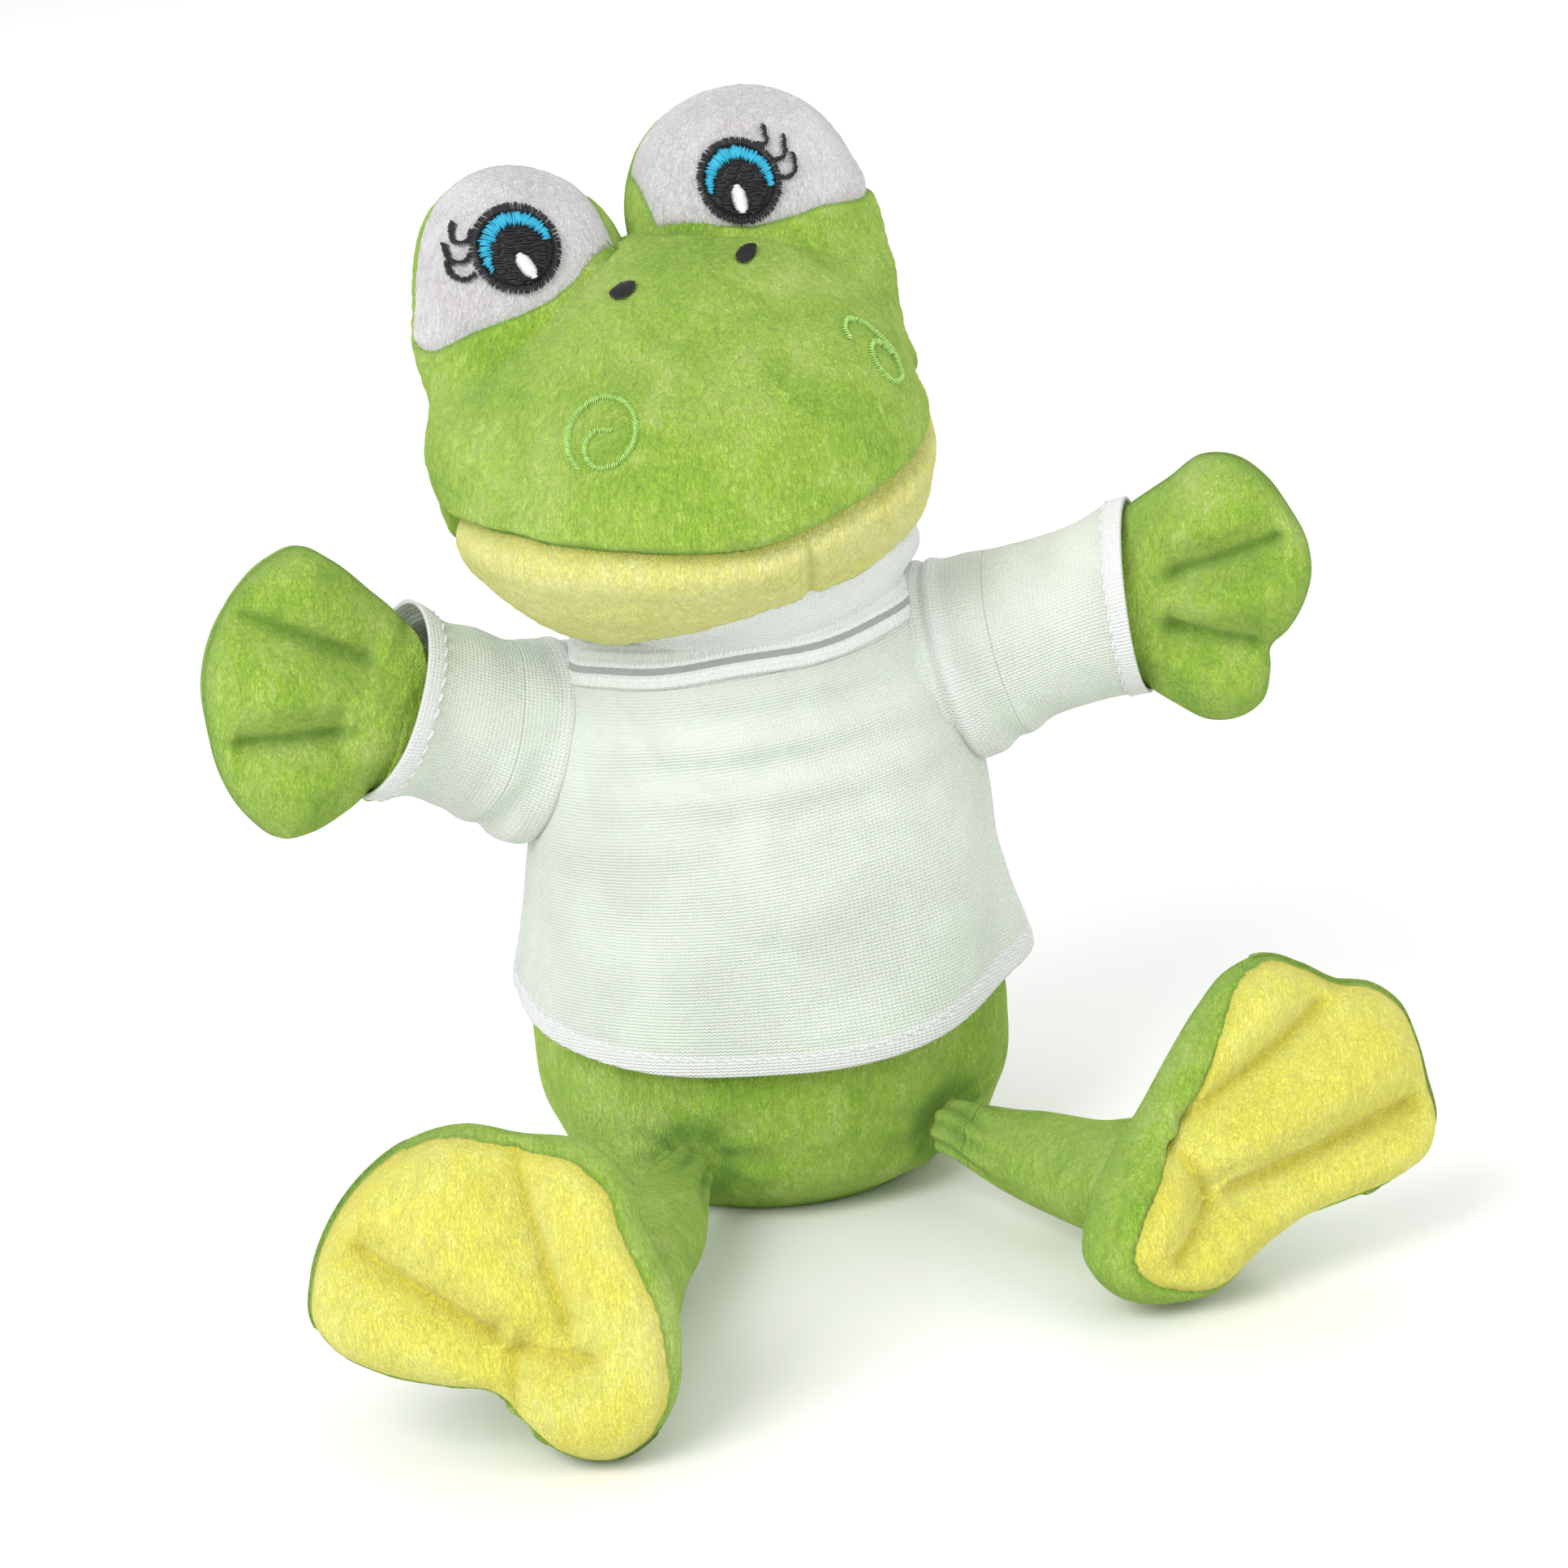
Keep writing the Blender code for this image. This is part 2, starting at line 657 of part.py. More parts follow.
def make_leg(looks, side, root, leg, foot):
    hip, end = HIPS[side], ankle(side)
    along = (end - hip).normalized()
    length = (end - hip).length
    frame = Matrix.Translation(hip) @ along.to_track_quat("X", "Z").to_matrix().to_4x4()
    finish(ball(HIP_BALL_R, 14, 8), f"leg_root_{side}", looks["green"], Matrix.Translation(hip), root)
    hip_cut = ball_cutter(f"cut_hip_{side}", hip, LEG_R + 3 * GAP)

    def rings(radius, tip):
        made = [oval(radius, radius, 14, along=t) for t in (0.0, length * 0.5, length)]
        for turn in (radians(35), radians(65)):
            made.append(oval(radius * cos(turn), radius * cos(turn), 14, along=length + tip * sin(turn)))
        made.append(oval(0.0, 0.0, 14, along=length + tip))
        return made

    inner = LEG_R - 0.0012
    skin = thick_patch(rings(LEG_R, LEG_R), rings(inner, inner), True)
    skin = finish(skin, f"leg_skin_{side}", looks["green"], frame, leg)
    core = stacked(rings(inner - GAP, inner - GAP))
    core = finish(core, f"leg_stuffing_{side}", looks["filling"], frame, leg)
    boolean(skin, hip_cut)
    boolean(core, hip_cut)
    socket = ball_cutter(f"cut_ankle_{side}", end, LEG_R + 2 * GAP)
    place = foot_frame(side)
    lobes = [(y, x, r) for x, y, r in FOOT_LOBES]
    nowhere = -1.0
    parts = (
        (f"foot_sole_{side}", "yellow", pad_shell(lobes, FOOT_HALF, nowhere, 1)),
        (f"foot_upper_{side}", "green", pad_shell(lobes, FOOT_HALF, nowhere, -1)),
        (f"foot_stuffing_{side}", "filling", pad_core(lobes, FOOT_HALF, nowhere)),
    )
    for name, look, mesh in parts:
        obj = finish(mesh, name, looks[look], place, foot)
        if "sole" not in name:
            boolean(obj, socket)


def main():
    clear_scene()
    looks = make_materials()
    torso_cutters = [ball_cutter(f"cut_shoulder_{s}", SHOULDERS[s], SHOULDER_CUT) for s in SHOULDERS]
    hip_cutters = [ball_cutter(f"cut_torso_hip_{s}", HIPS[s], LEG_R + 0.0013) for s in HIPS]
    make_torso(looks, torso_cutters + hip_cutters)
    armholes = [ball_cutter(f"cut_armhole_{s}", SHOULDERS[s], SHIRT_ARMHOLE) for s in SHOULDERS]
    make_shirt(looks, armholes)
    turner = empty("neck_turn_pivot", NECK)
    tilter = empty("neck_tilt_pivot", NECK, turner)
    nodder = empty("head_pivot", NECK, tilter)
    make_neck(looks, turner, tilter)
    turn = Matrix.Rotation(HEAD_ROLL, 4, "Y") @ Matrix.Rotation(HEAD_TURN, 4, "Z")
    head = Matrix.Translation(HEAD_CENTRE) @ turn @ Matrix.Rotation(HEAD_NOD, 4, "X")
    make_head(looks, head, nodder)
    for side in ("left", "right"):
        shoulder = empty(f"shoulder_pivot_{side}", SHOULDERS[side])
        arm = empty(f"arm_pivot_{side}", SHOULDERS[side], shoulder)
        make_arm(looks, side, shoulder, arm)
        root = empty(f"hip_pivot_{side}", HIPS[side])
        leg = empty(f"leg_pivot_{side}", HIPS[side], root)
        foot = empty(f"ankle_pivot_{side}", ankle(side), leg)
        make_leg(looks, side, root, leg, foot)


main()
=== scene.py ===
"""Looks of a frog hand puppet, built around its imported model.

Metres, +Z up, the puppet faces -Y. Left is the side of -X.
"""

from math import cos, pi, radians, sin

import bmesh
import bpy
import numpy as np
from mathutils import Matrix, Vector


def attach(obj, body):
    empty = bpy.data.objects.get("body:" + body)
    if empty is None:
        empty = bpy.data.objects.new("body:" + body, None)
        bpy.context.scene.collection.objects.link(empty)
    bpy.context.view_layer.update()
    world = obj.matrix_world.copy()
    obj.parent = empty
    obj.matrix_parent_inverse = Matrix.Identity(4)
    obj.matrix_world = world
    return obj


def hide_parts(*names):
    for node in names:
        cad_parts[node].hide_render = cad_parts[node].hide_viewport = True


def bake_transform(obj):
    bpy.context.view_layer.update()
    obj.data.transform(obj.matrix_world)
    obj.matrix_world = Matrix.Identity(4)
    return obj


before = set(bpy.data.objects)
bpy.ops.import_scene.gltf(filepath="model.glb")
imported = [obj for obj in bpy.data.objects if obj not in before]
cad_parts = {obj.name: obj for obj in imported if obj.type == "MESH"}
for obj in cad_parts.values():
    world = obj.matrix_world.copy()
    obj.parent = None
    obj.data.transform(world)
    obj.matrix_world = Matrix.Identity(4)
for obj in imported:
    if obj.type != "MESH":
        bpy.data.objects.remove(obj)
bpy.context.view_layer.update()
rng = np.random.default_rng(7)
SIDES = ("left", "right")

# ---------------------------------------------------------------- camera, floor, light
TILT, ROLL = radians(18), radians(4.5)


def make_camera():
    up = Vector((0, sin(TILT), cos(TILT)))
    ahead = Vector((0, cos(TILT), -sin(TILT)))
    right = cos(ROLL) * Vector((1, 0, 0)) - sin(ROLL) * up
    top = sin(ROLL) * Vector((1, 0, 0)) + cos(ROLL) * up
    data = bpy.data.cameras.new("camera")
    data.sensor_width = 36
    data.lens = 115.3
    data.clip_start, data.clip_end = 0.05, 60
    camera = bpy.data.objects.new("camera", data)
    bpy.context.scene.collection.objects.link(camera)
    turn = Matrix((right, top, -ahead)).transposed().to_4x4()
    camera.matrix_world = Matrix.Translation(0.00016 * right + 0.0756 * top - ahead) @ turn
    bpy.context.scene.camera = camera


def area_light(name, place, size, power, colour=(1, 1, 1)):
    data = bpy.data.lights.new(name, "AREA")
    data.size = size
    data.energy = power
    data.color = colour
    light = bpy.data.objects.new(name, data)
    bpy.context.scene.collection.objects.link(light)
    aim = (Vector((0, 0, 0.1)) - Vector(place)).to_track_quat("-Z", "Y")
    light.matrix_world = Matrix.Translation(place) @ aim.to_matrix().to_4x4()


def make_studio():
    world = bpy.data.worlds.new("studio")
    world.use_nodes = True
    world.node_tree.nodes["Background"].inputs[0].default_value = (1, 1, 1, 1)
    world.node_tree.nodes["Background"].inputs[1].default_value = 0.76
    bpy.context.scene.world = world
    bpy.context.scene.view_settings.view_transform = "Standard"
    area_light("key", (-0.9, -1.2, 1.3), 1.0, 21)
    area_light("fill", (1.3, -0.9, 0.7), 1.2, 6)
    area_light("back", (0.2, 1.3, 1.2), 1.0, 8)
    mesh = bpy.data.meshes.new("floor")
    reach = 8.0
    corners = [(-reach, -reach, 0), (reach, -reach, 0), (reach, reach, 0), (-reach, reach, 0)]
    mesh.from_pydata(corners, [], [(0, 1, 2, 3)])
    floor = bpy.data.objects.new("floor", mesh)
    bpy.context.scene.collection.objects.link(floor)
    floor.location.z = -0.0004
    paint = bpy.data.materials.new("floor")
    paint.use_nodes = True
    shader = paint.node_tree.nodes["Principled BSDF"]
    shader.inputs["Base Color"].default_value = (0.93, 0.93, 0.92, 1)
    shader.inputs["Roughness"].default_value = 0.9
    mesh.materials.append(paint)


# ---------------------------------------------------------------- node materials
class Look:
    """A material under construction: add() makes a node, and links or sets its inputs."""

    def __init__(self, name):
        self.material = bpy.data.materials.new(name)
        self.material.use_nodes = True
        self.tree = self.material.node_tree
        self.shader = self.tree.nodes["Principled BSDF"]

    def put(self, socket, value):
        if isinstance(value, bpy.types.NodeSocket):
            self.tree.links.new(value, socket)
        else:
            socket.default_value = value

    def add(self, kind, inputs=None, **settings):
        node = self.tree.nodes.new("ShaderNode" + kind)
        for key, value in settings.items():
            setattr(node, key, value)
        for key, value in (inputs or {}).items():
            self.put(node.inputs[key], value)
        return node

    def math(self, operation, *values):
        node = self.add("Math", dict(enumerate(values)), operation=operation)
        return node.outputs[0]

    def attribute(self, name, output="Fac"):
        return self.add("Attribute", attribute_name=name).outputs[output]

    def millimetres(self, name, stretch=(1, 1, 1)):
        factor = tuple(1000 * s for s in stretch)
        vector = self.attribute(name, "Vector")
        return self.add("VectorMath", {0: vector, 1: factor}, operation="MULTIPLY").outputs[0]

    def noise(self, vector, size, detail=2.0, rough=0.55, twist=0.0):
        """A noise whose features are about size millimetres across."""
        made = self.add(
            "TexNoise",
            {"Vector": vector, "Scale": 1 / size, "Detail": detail, "Roughness": rough, "Distortion": twist},
        )
        return made.outputs["Fac"]

    def mix(self, factor, first, second):
        node = self.add("Mix", data_type="RGBA")
        self.put(node.inputs[0], factor)
        self.put(node.inputs[6], first)
        self.put(node.inputs[7], second)
        return node.outputs[2]

    def ramp(self, factor, *stops):
        node = self.add("ValToRGB", {0: factor})
        band = node.color_ramp
        band.elements[0].position, band.elements[0].color = stops[0][0], (*stops[0][1], 1)
        band.elements[1].position, band.elements[1].color = stops[-1][0], (*stops[-1][1], 1)
        for place, colour in stops[1:-1]:
            band.elements.new(place).color = (*colour, 1)
        return node.outputs[0]

    def spread(self, value, low, high, to_low=0.0, to_high=1.0):
        node = self.add("MapRange", {0: value, 1: low, 2: high, 3: to_low, 4: to_high})
        return node.outputs[0]

    def bump(self, height, distance, strength=1.0, under=None):
        node = self.add("Bump", {"Height": height, "Distance": distance, "Strength": strength})
        if under:
            self.put(node.inputs["Normal"], under)
        return node.outputs[0]

    def finish(self, colour, roughness, normal, **constants):
        self.put(self.shader.inputs["Base Color"], colour)
        self.put(self.shader.inputs["Roughness"], roughness)
        self.put(self.shader.inputs["Normal"], normal)
        for name, value in constants.items():
            self.shader.inputs[name.replace("_", " ")].default_value = value
        return self.material


def plush(name, dark, middle, light, deep, pile=1.0, sheen=(1, 1, 1, 1)):
    """Short cut pile: soft blotches where the nap lies either way, tufts, and fine fibres, and painted shade in
    seam grooves, creases and pleats.
    """
    look = Look(name)
    place = look.millimetres("rest")
    combed = look.millimetres("rest", (1, 1, 0.42))
    blotch = look.noise(place, 16, 3, 0.5, 0.8)
    tuft = look.noise(combed, 2.2, 4, 0.66, 1.8)
    fibre = look.noise(combed, 0.50, 3, 0.65, 1.2)
    tone = look.math("ADD", look.math("MULTIPLY", blotch, 0.36), look.math("MULTIPLY", tuft, 0.34))
    tone = look.math("ADD", tone, look.math("MULTIPLY", fibre, 0.30))
    colour = look.ramp(tone, (0.38, dark), (0.50, middle), (0.61, light))
    # painted shade: the seam mask darkens the pile towards the deep colour in seam grooves, creases and pleats
    seam = look.attribute("seam")
    colour = look.mix(look.math("MULTIPLY", seam, 0.75), colour, (*deep, 1))
    height = look.math("ADD", look.math("MULTIPLY", tuft, 0.8), look.math("MULTIPLY", fibre, 0.55))
    normal = look.bump(height, 0.0025 * pile, 1.0)
    rough = look.spread(fibre, 0.3, 0.7, 0.78, 0.95)
    return look.finish(
        colour,
        rough,
        normal,
        Sheen_Weight=0.45,
        Sheen_Roughness=0.42,
        Sheen_Tint=sheen,
        Specular_IOR_Level=0.12,
    )


def knit(name, thin, thick, course=0.65, wale=0.85):
    """Fine jersey: rows of loops along the cloth, whiter where it is doubled in a hem or seam."""
    look = Look(name)
    cloth = look.attribute("cloth", "Vector")
    apart = look.add("SeparateXYZ", {0: cloth})
    u = look.math("MULTIPLY", apart.outputs[0], 1000 * 2 * pi / wale)
    v = look.math("MULTIPLY", apart.outputs[1], 1000 * 2 * pi / course)
    shift = look.math("MULTIPLY", look.math("SINE", u), 0.9)
    rows = look.math("SINE", look.math("ADD", v, shift))
    loops = look.math("ABSOLUTE", look.math("SINE", look.math("MULTIPLY", u, 0.5)))
    place = look.millimetres("rest")
    fuzz = look.noise(place, 0.5, 3, 0.6)
    cloud = look.noise(place, 17, 2, 0.5, 0.6)
    height = look.math("ADD", look.math("MULTIPLY", rows, 0.5), look.math("MULTIPLY", loops, 0.45))
    height = look.math("ADD", height, look.math("MULTIPLY", fuzz, 0.7))
    hem = look.attribute("hem")
    shade = look.spread(cloud, 0.35, 0.65, 0.91, 1.04)
    tint = look.add("VectorMath", {0: (*thin,), 1: shade}, operation="MULTIPLY")
    shown = look.spread(rows, -1.0, 1.0, 0.0, 0.45)
    body = look.mix(shown, tint.outputs[0], (*thick, 1))
    colour = look.mix(look.math("MULTIPLY", hem, 0.92), body, (*thick, 1))
    normal = look.bump(height, 0.00030, 0.85)
    rough = look.spread(fuzz, 0.3, 0.7, 0.80, 0.95)
    return look.finish(
        colour, rough, normal, Sheen_Weight=0.15, Sheen_Roughness=0.5, Specular_IOR_Level=0.2
    )


def thread(name, low, high, gloss=0.42):
    """Embroidery thread: fine strands with a soft shine."""
    look = Look(name)
    place = look.millimetres("rest")
    strand = look.noise(place, 0.22, 3, 0.65, 1.2)
    patch = look.noise(place, 1.6, 2)
    tone = look.math("ADD", look.math("MULTIPLY", strand, 0.6), look.math("MULTIPLY", patch, 0.4))
    colour = look.ramp(tone, (0.35, low), (0.65, high))
    rough = look.spread(strand, 0.3, 0.7, gloss - 0.08, gloss + 0.2)
    normal = look.bump(strand, 0.00015, 0.6)
    return look.finish(colour, rough, normal, Specular_IOR_Level=0.4)


def make_looks():
    # each plush's fourth colour is the deep tone of its painted shade in seams, creases and pleats
    green = ((0.270, 0.540, 0.034), (0.460, 0.720, 0.078), (0.650, 0.850, 0.210), (0.120, 0.390, 0.020))
    yellow = ((0.830, 0.775, 0.095), (0.890, 0.860, 0.145), (0.925, 0.905, 0.250), (0.780, 0.660, 0.040))
    chin = ((0.780, 0.770, 0.180), (0.870, 0.860, 0.280), (0.920, 0.905, 0.420), (0.560, 0.570, 0.070))
    white = ((0.600, 0.570, 0.590), (0.730, 0.705, 0.725), (0.820, 0.800, 0.820), (0.500, 0.520, 0.440))
    return {
        "green": plush("plush_green", *green, sheen=(0.80, 1.0, 0.50, 1)),
        "sole": plush("plush_yellow", *yellow, pile=0.55, sheen=(1, 0.97, 0.62, 1)),
        "chin": plush("plush_pale_yellow", *chin, pile=0.55, sheen=(1, 1, 0.70, 1)),
        "white": plush("plush_white", *white, pile=0.5),
        "shirt": knit("jersey", (0.775, 0.860, 0.745), (0.880, 0.885, 0.905)),
        "black": thread("thread_black", (0.004, 0.004, 0.006), (0.028, 0.027, 0.031)),
        "blue": thread("thread_turquoise", (0.012, 0.300, 0.500), (0.045, 0.520, 0.740)),
        "bright": thread("thread_white", (0.66, 0.67, 0.70), (0.92, 0.92, 0.93)),
        "lime": thread("thread_lime", (0.330, 0.640, 0.120), (0.560, 0.820, 0.270), 0.5),
        "leaf": thread("thread_green", (0.100, 0.300, 0.030), (0.230, 0.500, 0.080), 0.5),
        "lining": knit("lining", (0.200, 0.400, 0.050), (0.300, 0.520, 0.080)),
    }


# ---------------------------------------------------------------- shapes
def smooth(value, low, high):
    t = np.clip((value - low) / (high - low), 0, 1)
    return t * t * (3 - 2 * t)


def hump(distance, width):
    return np.exp(-((distance / width) ** 2))


def spline(xs, ys, x):
    """A smooth curve through a few points, at x."""
    xs, ys = np.asarray(xs, float), np.asarray(ys, float)
    slope = np.gradient(ys, xs)
    i = np.clip(np.searchsorted(xs, x) - 1, 0, len(xs) - 2)
    step = xs[i + 1] - xs[i]
    t = np.clip((x - xs[i]) / step, 0, 1)
    a, b = 2 * t**3 - 3 * t**2 + 1, t**3 - 2 * t**2 + t
    c, d = -2 * t**3 + 3 * t**2, t**3 - t**2
    return a * ys[i] + b * step * slope[i] + c * ys[i + 1] + d * step * slope[i + 1]


def lumps(points, size, seed=0):
    """Smooth noise from -1 to 1 over points, with features of about that size."""
    q = np.asarray(points) / size + 17.3 * seed
    cell = np.floor(q).astype(np.int64)
    f = q - cell
    f = f * f * (3 - 2 * f)
    total = 0
    for corner in range(8):
        offset = np.array([corner & 1, corner >> 1 & 1, corner >> 2 & 1])
        c = cell + offset
        h = (c[..., 0] * 73856093) ^ (c[..., 1] * 19349663) ^ (c[..., 2] * 83492791)
        h = (h ^ (h >> 13)) * 1274126177
        value = ((h >> 8) & 0xFFFF) / 32767.5 - 1
        total = total + value * np.prod(np.where(offset == 1, f, 1 - f), axis=-1)
    return total


def segment_distance(points, start, end):
    """Distance of 2-D points to a segment, and the share along it."""
    start, end = np.asarray(start, float), np.asarray(end, float)
    way = end - start
    t = np.clip(((points - start) @ way) / (way @ way), 0, 1)
    return np.linalg.norm(points - start - t[..., None] * way, axis=-1), t


def grid_faces(rows, columns, wrap=False, first=0):
    i, j = np.meshgrid(np.arange(rows - 1), np.arange(columns if wrap else columns - 1), indexing="ij")
    k = (j + 1) % columns
    a, b = first + i * columns + j, first + i * columns + k
    c, d = first + (i + 1) * columns + k, first + (i + 1) * columns + j
    return np.stack([a, b, c, d], -1).reshape(-1, 4).tolist()


def moved(points, matrix):
    m = np.array(matrix)
    return np.asarray(points).reshape(-1, 3) @ m[:3, :3].T + m[:3, 3]


def piece(name, points, faces, look, matrix=None, marks=None, cloth=None, thick=0.0):
    """A smooth mesh object. Its rest place is kept on the mesh, for its materials."""
    points = np.asarray(points, float).reshape(-1, 3)
    if matrix is not None:
        points = moved(points, matrix)
    mesh = bpy.data.meshes.new(name)
    mesh.from_pydata(points.tolist(), [], faces)
    stored = mesh.attributes.new("rest", "FLOAT_VECTOR", "POINT")
    stored.data.foreach_set("vector", points.astype(np.float32).ravel())
    # seam carries the plush's painted shade in grooves, creases and pleats; hem marks doubled jersey
    for key in ("seam", "hem"):
        value = np.zeros(len(points), np.float32)
        if marks and key in marks:
            value = np.asarray(marks[key], np.float32).reshape(-1)
        mesh.attributes.new(key, "FLOAT", "POINT").data.foreach_set("value", value)
    if cloth is not None:
        flat = np.zeros((len(points), 3), np.float32)
        flat[:, :2] = np.asarray(cloth).reshape(-1, 2)
        mesh.attributes.new("cloth", "FLOAT_VECTOR", "POINT").data.foreach_set("vector", flat.ravel())
    tidy = bmesh.new()
    tidy.from_mesh(mesh)
    bmesh.ops.remove_doubles(tidy, verts=tidy.verts, dist=2e-7)
    bmesh.ops.recalc_face_normals(tidy, faces=tidy.faces)
    tidy.to_mesh(mesh)
    tidy.free()
    mesh.shade_smooth()
    mesh.materials.append(look)
    obj = bpy.data.objects.new(name, mesh)
    bpy.context.scene.collection.objects.link(obj)
    if thick:
        backed(obj, thick)
    return obj


def backed(obj, thick):
    """Gives an open panel its cloth thickness, inward."""
    solid = obj.modifiers.new("cloth", "SOLIDIFY")
    solid.thickness = thick
    solid.offset = -1
    bpy.context.view_layer.update()
    done = bpy.data.meshes.new_from_object(obj.evaluated_get(bpy.context.evaluated_depsgraph_get()))
    obj.modifiers.clear()
    obj.data = done


def face_out(points, faces, centre):
    """The faces turned so that their normals leave the centre, on the whole."""
    p = np.asarray(points).reshape(-1, 3)
    f = np.array(faces)
    n = np.cross(p[f[:, 1]] - p[f[:, 0]], p[f[:, 2]] - p[f[:, 0]])
    out = (n * (p[f].mean(1) - centre)).sum()
    return faces if out > 0 else f[:, ::-1].tolist()


# ---------------------------------------------------------------- head
HEAD_CENTRE = Vector((-0.008, -0.005, 0.163))
HEAD_TURN = Matrix.Rotation(radians(-12.5), 4, "Y") @ Matrix.Rotation(radians(16), 4, "Z")
HEAD = Matrix.Translation(HEAD_CENTRE) @ HEAD_TURN @ Matrix.Rotation(radians(-10), 4, "X")
BALLS = (
    ((0.0, 0.002, -0.010), (0.046, 0.038, 0.038)),
    ((0.0, -0.008, -0.018), (0.047, 0.036, 0.030)),
    ((-0.0235, 0.002, 0.026), (0.0225, 0.017, 0.0225)),
    ((0.0235, 0.002, 0.026), (0.0225, 0.017, 0.0225)),
)
# Where the stuffing makes the head swell or leaves it flat: direction, spread, height.
SWELLS = (
    ((-1.0, -0.10, 0.08), 0.32, 0.0074),
    ((0.88, -0.26, -0.36), 0.34, -0.0080),
    ((-0.80, 0.0, 0.60), 0.28, -0.0046),
    ((0.97, -0.08, 0.22), 0.20, 0.0068),
)
HEAD_SEAM_Y = 0.003
MOUTH_Z, MOUTH_SLOPE = -0.018, 0.467
EYE_SEAM_Z, NOTCH = 0.0225, 0.0050
INNER_X, INNER_SLOPE = 0.015, 0.45
NECK = Vector((0.0, 0.0, 0.121))
NECK_ROOM = 0.0383
NECK_ROOM_SHARE = 0.955
CHIN_DART_X = 0.0045


def head_radius(way):
    """How far the fabric is from the head's centre, along each unit vector."""
    total = 0
    for centre, radii in BALLS:
        d, c = way / np.array(radii), np.array(centre) / np.array(radii)
        half, size = d @ c, (d * d).sum(-1)
        inside = half**2 - size * (c @ c - 1)
        reach = np.where(inside > 0, (half + np.sqrt(np.maximum(inside, 0))) / size, 0)
        total = total + np.maximum(reach, 0) ** 12
    soft = 0.0005 * lumps(way, 0.30, 1) + 0.0003 * lumps(way, 0.13, 2)
    for centre, wide, rise in SWELLS:
        away = np.linalg.norm(way - np.array(Vector(centre).normalized()), axis=-1)
        soft = soft + rise * hump(away, wide)
    return total ** (1 / 12) + soft


def outside(points):
    size = np.linalg.norm(points, axis=-1)
    return size - head_radius(points / size[..., None])


def face_points(x, z, lift):
    """Points of the head's front at (x, z), raised off the fabric, and the fabric's normals there."""
    x, z = np.broadcast_arrays(np.asarray(x, float), np.asarray(z, float))
    low, high = np.full(x.shape, -0.075), np.zeros(x.shape)
    for _ in range(24):
        y = (low + high) / 2
        out = outside(np.stack([x, y, z], -1)) > 0
        low, high = np.where(out, y, low), np.where(out, high, y)
    at = np.stack([x, low, z], -1)
    step = 0.0006
    rise = [outside(at + step * axis) - outside(at - step * axis) for axis in np.eye(3)]
    normal = np.stack(rise, -1)
    normal /= np.linalg.norm(normal, axis=-1, keepdims=True)
    return at + np.asarray(lift)[..., None] * normal, normal


def eye_seam_bend(x):
    """How far the lower edge of a white patch is above its cutting plane."""
    where = (0.0, 0.005, 0.010, 0.015, 0.021, 0.028, 0.036, 0.044)
    rise = (0.0034, 0.0034, 0.0030, 0.0024, -0.0002, -0.0008, -0.0010, -0.0026)
    return np.interp(np.abs(x), where, rise)


def mouth_bend(x):
    """How far the mouth seam is above its cutting plane: the mouth smiles, more on the left."""
    where = (-0.050, -0.043, -0.034, -0.024, -0.013, -0.003, 0.005, 0.016, 0.026, 0.034, 0.046)
    rise = (0.0110, 0.0120, 0.0110, 0.0086, 0.0052, 0.0027, 0.0026, 0.0036, 0.0044, 0.0055, 0.0075)
    return spline(where, rise, np.clip(x, where[0], where[-1]))


def head_panel(name, cuts, look, looks, slot, nodes, fill):
    """One panel of the head: a fine ball, cut by planes, then drawn out to the fabric's place."""
    mesh = bmesh.new()
    bmesh.ops.create_icosphere(mesh, subdivisions=8 if look == "green" else 8, radius=1)
    ways = np.array([v.co for v in mesh.verts])
    ways /= np.linalg.norm(ways, axis=1, keepdims=True)
    placed = ways * head_radius(ways)[:, None]
    for vert, co in zip(mesh.verts, placed):
        vert.co = co
    for at, normal in cuts:
        geometry = mesh.verts[:] + mesh.edges[:] + mesh.faces[:]
        bmesh.ops.bisect_plane(
            mesh, geom=geometry, dist=1e-7, plane_co=at, plane_no=normal, clear_outer=True
        )
    mesh.verts.index_update()
    p = np.array([v.co for v in mesh.verts])
    faces = [[v.index for v in face.verts] for face in mesh.faces]
    mesh.free()
    return p, faces


